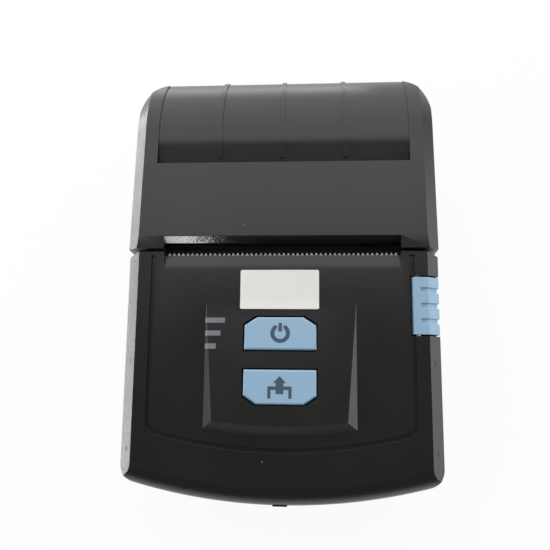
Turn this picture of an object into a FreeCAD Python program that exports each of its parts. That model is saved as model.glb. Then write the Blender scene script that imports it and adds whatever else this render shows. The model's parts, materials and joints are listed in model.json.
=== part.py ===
import FreeCAD, Part
import math
import os

import Sketcher

# Portable receipt printer for 58 mm paper, in millimetres. +X is right, -Y is the front and +Z is up. The
# origin is at the middle of the rest plane under the rubber feet.

doc = FreeCAD.newDocument("ReceiptPrinter")
sheet = doc.addObject("Spreadsheet::Sheet", "Dims")

SIZES = {
    # Overall form
    "case_width": 80.0,
    "case_length": 116.8,
    "case_height": 45.0,
    "foot_height": 0.8,
    "wall": 2.0,
    "floor_top": 3.0,
    "seam_z": 27.0,
    "seam_gap": 0.3,
    "split_y": 4.6,
    "split_gap": 0.6,
    "front_radius": 146.0,
    "front_round": 5.2,
    "corner_round": 6.0,
    "corner_bite": 0.1,
    "chamfer_width": 3.0,
    "chamfer_drop": 2.4,
    "chamfer_lean": 38.66,
    "sole_chamfer": 1.2,
    "root_depth": 1.0,
    "split_bevel": 1.0,
    "nub_half": 1.8,
    "nub_proud": 0.2,
    "nub_low": 32.5,
    "nub_high": 35.5,
    # Front panel, control plateau and its openings
    "panel_z": 43.5,
    "panel_slope": 4.0,
    "plateau_z": 42.58,
    "plateau_half": 19.0,
    "plateau_front": -40.1,
    "plateau_radius": 121.0,
    "plateau_lean": 48.5,
    "groove_half": 33.1,
    "groove_width": 1.2,
    "groove_depth": 0.6,
    "groove_corner": 3.6,
    "groove_radius": 123.0,
    "groove_front": -45.9,
    "groove_rear": 3.3,
    "slot_half": 30.4,
    "ramp_front": -0.4,
    "ramp_rear": 3.55,
    "ramp_low_z": 42.0,
    # Buttons, lenses and label
    "button_half": 9.0,
    "button_proud": 0.45,
    "button_gap": 0.4,
    "button_edge": 0.5,
    "button_corner_x": 3.2,
    "button_corner_y": 2.1,
    "power_rear": -12.7,
    "power_front": -20.9,
    "feed_rear": -25.8,
    "feed_front": -34.2,
    "button_flange": 1.0,
    "flange_low": 37.0,
    "flange_high": 38.2,
    "stem_radius": 1.5,
    "stem_low": 34.3,
    "lens_left": -19.1,
    "lens_rear": -12.85,
    "lens_pitch": 3.27,
    "lens_height": 1.3,
    "lens_long": 5.05,
    "lens_step": 1.05,
    "lens_low": 39.0,
    "label_left": -10.3,
    "label_width": 20.0,
    "label_rear": -0.6,
    "label_depth": 10.0,
    "label_thick": 0.15,
    # Tear bar
    "blade_half": 30.0,
    "blade_front": 0.5,
    "blade_low": 41.0,
    "blade_thick": 0.5,
    "tooth_root": 3.55,
    "tooth_depth": 0.8,
    "tooth_pitch": 1.2,
    "tooth_count": 50,
    # Release lever, along the panel from the split
    "lever_inner": 32.9,
    "lever_rear": 7.0,
    "lever_length": 14.4,
    "lever_gap": 0.4,
    "lever_thick": 1.8,
    "lever_skirt": 6.2,
    "lever_wall": 1.6,
    "lever_edge": 1.0,
    "lever_pin_x": 34.4,
    "lever_pin_drop": 1.4,
    "lever_pin_radius": 0.6,
    "lever_pin_seat": 2.2,
    "dent_start": 35.0,
    "dent_width": 1.3,
    "dent_depth": 0.5,
    "dent_pitch": 3.9,
    "dent_first": 10.3,
    # Paper cover
    "cover_wall": 2.4,
    "cover_side": 2.2,
    "rear_side": 5.6,
    "rear_side_y": 41.0,
    "rear_corner_y": 42.0,
    "rear_corner_in": 0.4,
    "rear_corner_round": 15.0,
    "rear_corner_turn": 65.0,
    "rear_corner_lean": 12.0,
    "rear_corner_low": 12.0,
    "rear_y": 38.7,
    "rear_radius": 22.4,
    "rear_turn": 55.0,
    "brow_slope": 7.0,
    "notch_y": 8.1,
    "notch_low_y": 6.45,
    "notch_low_z": 42.0,
    "recess_half": 33.4,
    "recess_front": 28.3,
    "recess_shallow": 0.35,
    "recess_slope": 10.5,
    "recess_bend": 14.0,
    "recess_level_y": 34.8,
    "recess_end_z": 14.0,
    "bead_half": 0.6,
    "bead_height": 0.35,
    "bead_front": 29.9,
    "bead_round": 0.5,
    "bead_spacing": 16.7,
    # Hinge
    "hinge_y": 55.6,
    "hinge_z": 8.0,
    "barrel_radius": 2.8,
    "hinge_gap": 0.4,
    "hinge_pin_radius": 0.9,
    "running_gap": 0.05,
    "lug_radius": 2.0,
    "lug_inner": 32.9,
    "lug_outer": 36.7,
    "rear_lip_z": 4.6,
    "pin_inner": 31.0,
    "pin_outer": 39.0,
    # Printing mechanism
    "platen_y": 12.5,
    "platen_z": 36.0,
    "platen_radius": 5.0,
    "platen_half": 29.0,
    "core_radius": 2.0,
    "journal_radius": 1.5,
    "journal_right": 34.6,
    "bush_collar": 2.2,
    "bush_radius": 3.5,
    "bush_inner": 31.2,
    "bush_outer": 33.0,
    "cheek_inner": 29.6,
    "cheek_outer": 31.0,
    "cheek_front": 8.6,
    "cheek_rear": 16.4,
    "cheek_low": 31.5,
    "carrier_thick": 1.0,
    "frame_inner": 31.4,
    "frame_outer": 32.8,
    "frame_front": -9.0,
    "frame_rear": 19.0,
    "frame_base": 10.0,
    "frame_top": 39.0,
    "frame_sheet": 1.2,
    "bridge_low": 28.0,
    "bridge_high": 38.0,
    "head_y": 6.3,
    "head_thick": 1.0,
    "head_low": 27.0,
    "head_top": 38.0,
    "guide_front": 4.6,
    "guide_rear": 7.1,
    "guide_low": 38.2,
    "guide_high": 38.9,
    "sink_thick": 2.0,
    "spring_x": 15.0,
    "spring_z": 33.0,
    "spring_radius": 2.0,
    "spring_bore": 1.4,
    # Gear train on the left side
    "gear_module": 0.5,
    "gear_inner": 33.6,
    "gear_outer": 36.4,
    "platen_teeth": 20,
    "reduction_teeth": 30,
    "pinion_teeth": 10,
    "reduction_lean": 20.9,
    "pinion_lean": 62.8,
    "backlash": 0.16,
    "axle_radius": 1.0,
    "motor_radius": 7.5,
    "motor_length": 12.0,
    "motor_shaft_radius": 0.75,
    # Paper well
    "well_y": 37.5,
    "well_z": 23.7,
    "well_radius": 19.6,
    "well_wall": 1.0,
    "well_half": 29.4,
    "well_end": 1.2,
    "well_top": 24.0,
    "well_rear": 55.0,
    "well_ear_x": 33.0,
    "well_ear_half": 3.0,
    "well_ear_top": 23.6,
    "sensor_x": 10.5,
    "sensor_half": 2.4,
    "sensor_low": 19.2,
    "sensor_high": 22.8,
    "sensor_front": 15.0,
    "sensor_rear": 17.9,
    # Board and power
    "board_half": 30.5,
    "board_front": -50.0,
    "board_rear": -11.0,
    "board_low": 29.4,
    "board_thick": 1.6,
    "switch_half": 3.0,
    "switch_height": 2.6,
    "led_length": 1.6,
    "led_height": 0.8,
    "plug_half": 9.0,
    "plug_front": -14.0,
    "plug_rear": -11.5,
    "plug_height": 2.5,
    "flex_half": 8.0,
    "flex_thick": 0.3,
    "flex_run_z": 22.5,
    "flex_bend": 3.0,
    "socket_y": -35.0,
    "socket_half": 3.3,
    "socket_height": 3.4,
    "socket_outer": 39.2,
    "socket_depth": 12.0,
    "battery_half": 21.0,
    "battery_front": -54.0,
    "battery_rear": -17.0,
    "battery_low": 3.3,
    "battery_top": 22.0,
    "bay_rib": 1.4,
    "bay_clear": 1.8,
    "contact_half": 0.6,
    "contact_thick": 1.0,
    "contact_pitch": 5.0,
    "contact_low": 8.0,
    "contact_high": 14.0,
    "door_half": 22.0,
    "door_rear": -16.0,
    "door_low": 1.0,
    "door_high": 2.8,
    "door_gap": 0.3,
    "tongue": 1.2,
    "tongue_low": 1.6,
    "tongue_high": 2.2,
    "tongue_gap": 0.2,
    "grip_pitch": 3.0,
    "grip_depth": 0.5,
    # Fasteners and feet
    "case_screw_x": 35.0,
    "case_screw_front": -45.0,
    "case_screw_rear": -23.5,
    "case_boss": 3.4,
    "case_screw_radius": 1.0,
    "case_head_radius": 2.1,
    "case_head_low": 1.6,
    "case_head_high": 3.4,
    "case_screw_top": 34.0,
    "small_screw_radius": 0.8,
    "small_head_radius": 1.8,
    "small_head_height": 1.4,
    "small_boss": 2.4,
    "small_screw_bite": 5.5,
    "screw_gap": 0.1,
    "frame_screw_x": 28.0,
    "frame_screw_front": -5.0,
    "frame_screw_rear": 12.0,
    "board_screw_x": 27.0,
    "board_screw_front": -46.0,
    "board_screw_rear": -14.0,
    "foot_x": 30.0,
    "foot_front": -49.0,
    "foot_rear": 50.0,
    "foot_radius": 3.5,
}


class Size:
    """A length that keeps both its spreadsheet expression and its present value."""

    def __init__(self, text, value):
        self.text = text
        self.value = value

    @staticmethod
    def of(other):
        return other if isinstance(other, Size) else Size(repr(float(other)), float(other))

    def _join(self, sign, other, value):
        return Size(f"({self.text} {sign} {other.text})", value)

    def __add__(self, other):
        other = Size.of(other)
        return self._join("+", other, self.value + other.value)

    def __radd__(self, other):
        return Size.of(other) + self

    def __sub__(self, other):
        other = Size.of(other)
        return self._join("-", other, self.value - other.value)

    def __rsub__(self, other):
        return Size.of(other) - self

    def __mul__(self, other):
        other = Size.of(other)
        return self._join("*", other, self.value * other.value)

    def __rmul__(self, other):
        return Size.of(other) * self

    def __truediv__(self, other):
        other = Size.of(other)
        return self._join("/", other, self.value / other.value)

    def __neg__(self):
        return Size(f"(-1 * {self.text})", -self.value)


def root(size):
    """Square root of a size."""
    return Size(f"sqrt({size.text})", math.sqrt(size.value))


def turn(name, size):
    """sin, cos or tan of an angle in degrees."""
    return Size(f"{name}({size.text} * 1deg)", getattr(math, name)(math.radians(size.value)))


def fill_sheet():
    """Writes the driving dimensions to the sheet and returns them as sizes."""
    sizes = {}
    for row, (alias, value) in enumerate(SIZES.items(), start=1):
        sheet.set(f"A{row}", alias)
        sheet.set(f"B{row}", str(value))
        sheet.setAlias(f"B{row}", alias)
        sizes[alias] = Size(f"Dims.{alias}", float(value))
    doc.recompute()
    return type("Dimensions", (), sizes)


D = fill_sheet()
HALF = D.case_width / 2
FRONT = -(D.case_length / 2)
REAR = D.case_length / 2
FALL = turn("tan", D.panel_slope)
FOLD_Y = D.split_y + (D.plateau_z - D.panel_z) / FALL
PAST = Size.of(2)
ZERO = Size.of(0)
SIDES = (-1, 1)


def panel_at(y):
    """Height of the front panel's surface at y."""
    return D.panel_z - FALL * (D.split_y - y)


# Sketch and feature helpers

PLANES = {"X": "YZ_Plane", "Y": "XZ_Plane", "Z": "XY_Plane", "panel": "XY_Plane", "section": "XZ_Plane"}


def piece(label):
    """A new sub-part."""
    body = doc.addObject("PartDesign::Body", label)
    body.Label = label
    return body


def rect(u_low, u_high, v_low, v_high):
    return [(u_low, v_low), (u_high, v_low), (u_high, v_high), (u_low, v_high)]


def circle(u, v, radius):
    return {"centre": (u, v), "radius": radius}


def bind_point(sketch, geometry, point, corner):
    """Holds a sketch point at a bound place."""
    for kind, size in zip(("DistanceX", "DistanceY"), corner):
        size = Size.of(size)
        index = sketch.addConstraint(Sketcher.Constraint(kind, geometry, point, size.value))
        sketch.setExpression(f"Constraints[{index}]", size.text)


def bind_radius(sketch, geometry, radius):
    radius = Size.of(radius)
    index = sketch.addConstraint(Sketcher.Constraint("Radius", geometry, radius.value))
    sketch.setExpression(f"Constraints[{index}]", radius.text)


def arc_between(start, end, radius, way):
    """The shorter arc from start to end; way is 1 for counter-clockwise and -1 for clockwise."""
    chord = end - start
    middle = (start + end) * 0.5
    left = FreeCAD.Vector(-chord.y, chord.x, 0).normalize()
    reach = math.sqrt(max(radius**2 - (chord.Length / 2) ** 2, 0.0))
    centre = middle + left * (reach * way)
    first, last = (start, end) if way > 0 else (end, start)
    angles = [math.atan2(p.y - centre.y, p.x - centre.x) for p in (first, last)]
    if angles[1] < angles[0]:
        angles[1] += 2 * math.pi
    return Part.ArcOfCircle(Part.Circle(centre, FreeCAD.Vector(0, 0, 1), radius), *angles)


def draw(sketch, outline):
    """Draws a circle or a closed outline; a corner may add the radius and way of the arc that leads to it."""
    if isinstance(outline, dict):
        u, v = (Size.of(size) for size in outline["centre"])
        centre = FreeCAD.Vector(u.value, v.value, 0)
        radius = Size.of(outline["radius"])
        index = sketch.addGeometry(Part.Circle(centre, FreeCAD.Vector(0, 0, 1), radius.value))
        bind_point(sketch, index, 3, (u, v))
        bind_radius(sketch, index, radius)
        return
    points = [FreeCAD.Vector(Size.of(c[0]).value, Size.of(c[1]).value, 0) for c in outline]
    edges = []
    for index in range(len(outline)):
        following = outline[(index + 1) % len(outline)]
        start, end = points[index], points[(index + 1) % len(outline)]
        if len(following) == 2:
            edges.append((sketch.addGeometry(Part.LineSegment(start, end)), 1, 2))
            continue
        radius, way = Size.of(following[2]), following[3]
        geometry = sketch.addGeometry(arc_between(start, end, radius.value, way))
        edges.append((geometry, 1, 2) if way > 0 else (geometry, 2, 1))
        bind_radius(sketch, geometry, radius)
    for index, corner in enumerate(outline):
        geometry, start, _ = edges[index]
        before, _, end = edges[index - 1]
        sketch.addConstraint(Sketcher.Constraint("Coincident", geometry, start, before, end))
        bind_point(sketch, geometry, start, corner[:2])


def new_sketch(body, plane, offset, outlines):
    """A sketch on a plane of the body, the sloped panel or its cross section, moved along its normal."""
    sketch = body.newObject("Sketcher::SketchObject", f"{body.Name}_sketch")
    origin = next(f for f in body.Origin.OriginFeatures if f.Role == PLANES[plane])
    sketch.AttachmentSupport = [(origin, "")]
    sketch.MapMode = "FlatFace"
    offset = Size.of(offset)
    lean = {"panel": D.panel_slope, "section": D.panel_slope}.get(plane)
    if lean is None:
        sketch.setExpression("AttachmentOffset.Base.z", offset.text)
    else:
        sketch.AttachmentOffset = FreeCAD.Placement(
            FreeCAD.Vector(), FreeCAD.Rotation(FreeCAD.Vector(1, 0, 0), lean.value)
        )
        sine, cosine = turn("sin", lean), turn("cos", lean)
        foot = (D.split_y, D.panel_z) if plane == "panel" else (D.panel_z, -D.split_y)
        sketch.setExpression("AttachmentOffset.Base.y", (foot[0] - sine * offset).text)
        sketch.setExpression("AttachmentOffset.Base.z", (foot[1] + cosine * offset).text)
    for outline in outlines:
        draw(sketch, outline)
    return sketch


def span_on(plane, low, high):
    """The span measured along the plane's normal: the cross planes' normal points to -Y."""
    if plane == "Y":
        return -Size.of(high), -Size.of(low)
    return Size.of(low), Size.of(high)


def add(body, plane, low, high, *outlines, lean=None):
    """Pads the outlines between two heights along the plane's normal."""
    low, high = span_on(plane, low, high)
    sketch = new_sketch(body, plane, low, outlines)
    pad = body.newObject("PartDesign::Pad", f"{body.Name}_pad")
    pad.Profile = sketch
    pad.setExpression("Length", (high - low).text)
    if lean is not None:
        pad.setExpression("TaperAngle", (-lean).text)
    return pad


def take(body, plane, low, high, *outlines, lean=None):
    """Cuts the outlines away between two heights along the plane's normal; a lean narrows the cut downwards."""
    low, high = span_on(plane, low, high)
    sketch = new_sketch(body, plane, high, outlines)
    pocket = body.newObject("PartDesign::Pocket", f"{body.Name}_pocket")
    pocket.Profile = sketch
    pocket.setExpression("Length", (high - low).text)
    if lean is not None:
        pocket.setExpression("TaperAngle", (-lean).text)
    return pocket


def edges_where(feature, test):
    """Names of the feature's edges whose middle point passes the test."""
    doc.recompute()
    names = []
    for index, edge in enumerate(feature.Shape.Edges, start=1):
        middle = edge.valueAt((edge.FirstParameter + edge.LastParameter) / 2)
        if test(middle, edge):
            names.append(f"Edge{index}")
    return names


def round_edges(body, feature, radius, test):
    fillet = body.newObject("PartDesign::Fillet", f"{body.Name}_fillet")
    fillet.Base = (feature, edges_where(feature, test))
    fillet.setExpression("Radius", radius.text)
    return fillet


def bevel_edges(body, feature, first, second, test):
    chamfer = body.newObject("PartDesign::Chamfer", f"{body.Name}_chamfer")
    chamfer.Base = (feature, edges_where(feature, test))
    chamfer.ChamferType = "Two distances"
    chamfer.setExpression("Size", first.text)
    chamfer.setExpression("Size2", second.text)
    return chamfer


def near(value, target, reach=0.01):
    return abs(value - target) < reach


def is_upright(edge):
    return near(edge.BoundBox.XLength, 0) and near(edge.BoundBox.YLength, 0)


def mirrored(low, high):
    """The same span on the left and on the right side."""
    return ((-high, -low), (low, high))


# Outlines that several pieces share

def bowed_outline(inset, half, rear):
    """A plate in plan whose bowed front runs along the case's front, drawn in by inset."""
    radius = D.front_radius - inset
    corner = FRONT + D.front_radius - root(radius * radius - half * half)
    return [(-half, rear), (-half, corner), (half, corner, radius, 1), (half, rear)]


def front_bend(inset):
    """The case's rounded front corner in plan: its radius, its end on the side and its end on the front."""
    small, large = D.corner_round - inset, D.front_radius - inset
    middle = FRONT + D.front_radius
    reach = large - small
    bend_x = HALF - D.corner_round
    bend_y = middle - root(reach * reach - bend_x * bend_x)
    share = large / reach
    return small, (HALF - inset, bend_y), (bend_x * share, middle + (bend_y - middle) * share)


def plan_outline(inset):
    """The case in plan, with its bowed front and rounded corners, drawn in by inset."""
    radius, (side, side_y), (front, front_y) = front_bend(inset)
    rear = REAR - inset
    return [(-side, rear), (-side, side_y), (-front, front_y, radius, 1),
            (front, front_y, D.front_radius - inset, 1), (side, side_y, radius, 1), (side, rear)]


def corner_outline(side):
    """What the rounded front corner takes off a square one; its arc starts and ends just outside the case."""
    radius, (side_x, side_y), (front_x, front_y) = front_bend(ZERO)
    side_x, side_y = side_x + D.corner_bite, side_y - D.corner_bite
    front_x, front_y = front_x + D.corner_bite, front_y - D.corner_bite
    outside = HALF + PAST
    return [(side_x * side, side_y), (front_x * side, front_y, radius, -side), (front_x * side, FRONT - PAST),
            (outside * side, FRONT - PAST), (outside * side, side_y)]


def button_outline(rear, front, bevel_rear, grow):
    """A button in plan, with two bevelled corners at the rear or at the front."""
    half = D.button_half + grow
    low, high = front - grow, rear + grow
    cut_x, cut_y = D.button_corner_x, D.button_corner_y
    if bevel_rear:
        return [(-half, low), (half, low), (half, high - cut_y), (half - cut_x, high),
                (cut_x - half, high), (-half, high - cut_y)]
    return [(cut_x - half, low), (half - cut_x, low), (half, low + cut_y), (half, high),
            (-half, high), (-half, low + cut_y)]


BUTTONS = {
    "power_button": (D.power_rear, D.power_front, True),
    "feed_button": (D.feed_rear, D.feed_front, False),
}


def lens_outlines():
    """The three indicator bars, each shorter than the one behind it."""
    bars = []
    for index in range(3):
        rear = D.lens_rear - D.lens_pitch * index
        right = D.lens_left + D.lens_long - D.lens_step * index
        bars.append(rect(D.lens_left, right, rear - D.lens_height, rear))
    return bars


def case_screw_points():
    return [(D.case_screw_x * side, y) for side in SIDES for y in (D.case_screw_front, D.case_screw_rear)]


def frame_screw_points():
    return [(D.frame_screw_x * side, y) for side in SIDES for y in (D.frame_screw_front, D.frame_screw_rear)]


def board_screw_points():
    return [(D.board_screw_x * side, y) for side in SIDES for y in (D.board_screw_front, D.board_screw_rear)]


def well_screw_points():
    return [(D.well_ear_x * side, D.well_y) for side in SIDES]


def discs(points, radius):
    return [circle(x, y, radius) for x, y in points]


WELL_EAR_LOW = D.well_ear_top - D.well_wall
BOARD_TOP = D.board_low + D.board_thick
FLANGE_TOP = D.frame_base + D.frame_sheet


# Case

def lower_case():
    body = piece("lower_case")
    shell = add(body, "Z", D.foot_height, D.seam_z - D.seam_gap, plan_outline(ZERO))
    bevel_edges(body, shell, D.sole_chamfer, D.sole_chamfer, lambda p, e: near(p.z, D.foot_height.value))
    for side in SIDES:
        corner = [((HALF - D.chamfer_width) * side, REAR), ((HALF + D.chamfer_width) * side, REAR),
                  ((HALF + D.chamfer_width) * side, REAR - 2 * D.chamfer_drop)]
        take(body, "Z", ZERO, D.seam_z, corner)
    take(body, "Z", D.floor_top, D.seam_z, plan_outline(D.wall))
    # Room for the cover's rear wall and hinge barrel
    swing = D.barrel_radius + D.hinge_gap
    wide = HALF + PAST
    take(body, "X", -wide, wide, rect(D.hinge_y, REAR + PAST, D.rear_lip_z, D.seam_z + PAST))
    take(body, "X", -wide, wide, rect(D.hinge_y - swing, REAR + PAST, D.hinge_z, D.seam_z + PAST))
    take(body, "X", -wide, wide, circle(D.hinge_y, D.hinge_z, swing))
    left, right = D.hinge_y - D.lug_radius, D.hinge_y + D.lug_radius
    base = D.floor_top - D.root_depth
    lug = [(left, base), (right, base), (right, D.hinge_z),
           (D.hinge_y, D.hinge_z + D.lug_radius, D.lug_radius, 1), (left, D.hinge_z, D.lug_radius, 1)]
    for low, high in mirrored(D.lug_inner, D.lug_outer):
        add(body, "X", low, high, lug)
        take(body, "X", low, high, circle(D.hinge_y, D.hinge_z, D.hinge_pin_radius))
    # Battery bay, with the door's channel through the floor and the front wall
    channel = D.door_half + D.door_gap
    stop = D.door_rear + D.door_gap
    take(body, "Z", ZERO, D.floor_top, rect(-channel, channel, FRONT - PAST, stop))
    groove = channel + D.tongue
    take(body, "Z", D.tongue_low - D.tongue_gap, D.tongue_high + D.tongue_gap,
         rect(-groove, groove, FRONT - PAST, stop))
    rib_in = D.battery_half + D.bay_clear
    rib_out = rib_in + D.bay_rib
    rib_rear = D.battery_rear + D.contact_thick
    foot, crest = D.floor_top - D.seam_gap, D.battery_top - PAST
    for low, high in mirrored(rib_in, rib_out):
        add(body, "Z", foot, crest, rect(low, high, D.battery_front, rib_rear))
    add(body, "Z", foot, crest, rect(-rib_out, rib_out, rib_rear, rib_rear + D.bay_rib))
    # Bosses
    add(body, "Z", base, D.seam_z - D.seam_gap, *discs(case_screw_points(), D.case_boss))
    add(body, "Z", base, D.frame_base, *discs(frame_screw_points(), D.small_boss))
    add(body, "Z", base, WELL_EAR_LOW, *discs(well_screw_points(), D.small_boss))
    thread = D.small_screw_radius + D.screw_gap / 2
    take(body, "Z", ZERO, D.seam_z, *discs(case_screw_points(), D.case_screw_radius + D.screw_gap))
    take(body, "Z", ZERO, D.case_head_high, *discs(case_screw_points(), D.case_head_radius + D.screw_gap))
    take(body, "Z", D.frame_base - D.small_screw_bite, D.frame_base, *discs(frame_screw_points(), thread))
    take(body, "Z", WELL_EAR_LOW - D.small_screw_bite, WELL_EAR_LOW, *discs(well_screw_points(), thread))
    return body


def groove_outline():
    """The panel's outline groove, a band of even width open towards the split."""
    outer = D.groove_half + D.groove_width / 2
    radius = D.groove_radius
    corner = D.groove_corner
    centre_v = D.groove_front - D.split_y + radius
    reach = radius - corner
    bend_u = outer - corner
    bend_v = centre_v - root(reach * reach - bend_u * bend_u)
    rear = D.groove_rear - D.split_y

    def meets(arc_radius):
        ratio = arc_radius / reach
        return bend_u * ratio, centre_v + (bend_v - centre_v) * ratio

    inner = outer - D.groove_width
    small = corner - D.groove_width
    inner_radius = radius - D.groove_width
    outer_u, outer_v = meets(radius)
    inner_u, inner_v = meets(inner_radius)
    return [
        (-outer, rear), (-outer, bend_v), (-outer_u, outer_v, corner, 1), (outer_u, outer_v, radius, 1),
        (outer, bend_v, corner, 1), (outer, rear), (inner, rear), (inner, bend_v),
        (inner_u, inner_v, small, -1), (-inner_u, inner_v, inner_radius, -1), (-inner, bend_v, small, -1),
        (-inner, rear),
    ]


def shoulder_outline(side):
    """What the side chamfer takes off, in the panel's cross section."""
    inner, outer = (HALF - D.chamfer_width) * side, (HALF + D.chamfer_width) * side
    return [(inner, 0), (outer, -2 * D.chamfer_drop), (outer, PAST), (inner, PAST)]


def outer_front(body):
    """The solid front block of the upper case, with its rounded front edge, chamfers and control plateau."""
    add(body, "Z", D.seam_z, D.case_height + PAST, bowed_outline(ZERO, HALF, REAR))
    wide = HALF + PAST
    ends = (FRONT - PAST, REAR + PAST)
    above = [(ends[0], panel_at(ends[0])), (ends[1], panel_at(ends[1])),
             (ends[1], D.case_height * 2), (ends[0], D.case_height * 2)]
    take(body, "X", -wide, wide, above)
    split = D.split_y - D.split_gap / 2
    block = take(body, "X", -wide, wide, rect(split, REAR + PAST, D.seam_z - PAST, D.case_height + PAST))
    front_tip = FRONT.value + PAST.value
    upper = D.seam_z.value + D.front_round.value
    round_edges(body, block, D.front_round, lambda p, e: p.y < front_tip and p.z > upper)
    for side in SIDES:
        take(body, "section", -PAST, D.case_length, shoulder_outline(side))
        outer = (HALF + D.chamfer_width) * side
        knee = (HALF - D.chamfer_width) * side
        corner = [(knee, split), (outer, split - 2 * D.split_bevel), (outer, split)]
        take(body, "Z", D.seam_z - PAST, D.case_height + PAST, corner)
        take(body, "Z", D.seam_z - PAST, D.case_height + PAST, corner_outline(side))
    # The plateau's sides lean in, so it is drawn wider at its root inside the panel than at the panel's surface
    rooted = D.wall / 2
    spread = rooted * turn("tan", D.plateau_lean)
    half, radius = D.plateau_half + spread, D.plateau_radius + spread
    front = D.plateau_front - D.split_y - spread
    fold = (D.plateau_z - D.panel_z) / turn("sin", D.panel_slope)
    start = fold + spread
    plateau = [(-half, start), (-half, front), (half, front, radius, 1), (half, start)]
    add(body, "panel", -rooted, D.chamfer_width, plateau, lean=D.plateau_lean)
    level = rect(-half - PAST, half + PAST, D.plateau_front - 2 * PAST, FOLD_Y)
    take(body, "Z", D.plateau_z, D.case_height + PAST, level)
    nub = rect(-D.nub_half, D.nub_half, FRONT - D.nub_proud, FRONT + D.wall)
    add(body, "Z", D.nub_low, D.nub_high, nub)


def upper_case():
    body = piece("upper_case")
    outer_front(body)
    take(body, "panel", -D.groove_depth, PAST, groove_outline())
    inside = plan_outline(D.wall)
    hollow = [(corner[0], corner[1] - D.split_y, *corner[2:]) for corner in inside]
    take(body, "panel", -D.case_height, -D.wall, hollow)
    # Tear ramp, paper slot and the blade's seat
    slot = D.slot_half
    rear = D.split_y
    ramp = [(D.ramp_front, panel_at(D.ramp_front)), (D.ramp_rear, D.ramp_low_z), (rear, D.ramp_low_z),
            (rear, D.case_height), (D.ramp_front, D.case_height)]
    take(body, "X", -slot, slot, ramp)
    take(body, "X", -slot, slot, rect(D.ramp_rear, rear, D.seam_z, D.case_height))
    seat = D.blade_half + D.screw_gap
    blade_top = D.blade_low + D.blade_thick
    blade = rect(D.blade_front - D.screw_gap, rear, D.blade_low - D.screw_gap, blade_top)
    take(body, "X", -seat, seat, blade)
    # Button and lens openings
    for rear_edge, front_edge, bevel_rear in BUTTONS.values():
        hole = button_outline(rear_edge, front_edge, bevel_rear, D.button_gap)
        take(body, "Z", D.seam_z, D.case_height, hole)
    take(body, "Z", D.seam_z, D.case_height, *lens_outlines())
    # Release lever's opening and the seats of its pin
    near_end = D.lever_rear - D.lever_gap
    far_end = D.lever_rear + D.lever_length + D.lever_gap
    opening = rect(D.lever_inner - D.lever_gap, HALF + PAST, -D.lever_skirt - D.root_depth, PAST)
    take(body, "section", near_end, far_end, opening)
    seat = rect(D.lever_inner, D.lever_pin_x + D.lever_thick, -2 * D.lever_pin_drop, -D.wall / 2)
    pin = circle(D.lever_pin_x, -D.lever_pin_drop, D.lever_pin_radius)
    for low, high in ((near_end - D.lever_pin_seat, near_end), (far_end, far_end + D.lever_pin_seat)):
        add(body, "section", low, high, seat)
        take(body, "section", low, high, pin)
    # Screw bosses
    thread = D.small_screw_radius + D.screw_gap / 2
    for x, y in board_screw_points():
        add(body, "Z", BOARD_TOP, panel_at(y) - D.wall / 2, circle(x, y, D.small_boss))
        take(body, "Z", BOARD_TOP, BOARD_TOP + D.small_screw_bite, circle(x, y, thread))
    bite = D.case_screw_radius + D.screw_gap / 2
    for x, y in case_screw_points():
        add(body, "Z", D.seam_z, panel_at(y) - D.wall / 2, circle(x, y, D.case_boss))
        take(body, "Z", D.seam_z, D.case_screw_top + D.root_depth, circle(x, y, bite))
    # Charge socket's window on the left
    margin = 2 * D.screw_gap
    window = rect(D.socket_y - D.socket_half - margin, D.socket_y + D.socket_half + margin,
                  BOARD_TOP - margin, BOARD_TOP + D.socket_height + margin)
    take(body, "X", -HALF - PAST, -HALF + 2 * D.wall, window)
    return body


# Paper cover

def rear_curve(inset):
    """The cover's rear in side view, drawn in by inset: where its level top ends, where the wide bend passes
    into the tight one, and where it stands upright, each with the radius of the arc that leads to it."""
    sine, cosine = turn("sin", D.rear_turn), turn("cos", D.rear_turn)
    wide = D.rear_radius
    tight = (REAR - D.rear_y - wide * sine) / (1 - sine)
    upright_z = D.case_height - wide * (1 - cosine) - tight * cosine
    joint_y = D.rear_y + (wide - inset) * sine
    joint_z = D.case_height - wide + (wide - inset) * cosine
    return ((D.rear_y, D.case_height - inset), (joint_y, joint_z, wide - inset),
            (REAR - inset, upright_z, tight - inset))


def down_the_rear(inset):
    """Corners from the level top's end down to where the rear stands upright."""
    top, joint, upright = rear_curve(inset)
    return [top, (*joint, -1), (*upright, -1)]


def up_the_rear(inset):
    """The same corners the other way round."""
    top, joint, upright = rear_curve(inset)
    return [upright[:2], (*joint[:2], upright[2], 1), (*top, joint[2], 1)]


def bulge_floor(inset, front):
    """The roll bulge's floor from its front edge to the level part: a slope and a soft bend."""
    level = D.case_height - inset
    run = D.recess_bend * turn("tan", D.recess_slope / 2)
    slope_y = D.recess_level_y - run * turn("cos", D.recess_slope)
    slope_z = level - run * turn("sin", D.recess_slope)
    start = level - (D.recess_level_y - front) * turn("tan", D.recess_slope)
    return [(front, start), (slope_y, slope_z), (D.recess_level_y + run, level, D.recess_bend, -1)]


def recess_outline():
    """The roll bulge's floor and all above it: deep at its front edge, then following the rear."""
    depth = D.recess_shallow
    over = D.case_height + PAST
    return [
        *bulge_floor(depth, D.recess_front), *down_the_rear(depth), (REAR - depth, D.recess_end_z),
        (REAR + PAST, D.recess_end_z), (REAR + PAST, over), (D.recess_front, over),
    ]


def rear_corner_outline(side):
    """What the rounding of a rear corner takes off the cover at its top."""
    radius = D.rear_corner_round
    start = HALF - D.rear_corner_in
    end_x = start - radius + radius * turn("cos", D.rear_corner_turn)
    end_y = D.rear_corner_y + radius * turn("sin", D.rear_corner_turn)
    outside, behind = HALF + radius, REAR + radius
    return [(start * side, D.rear_corner_y), (end_x * side, end_y, radius, side), (end_x * side, behind),
            (outside * side, behind), (outside * side, D.rear_corner_y)]


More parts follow.
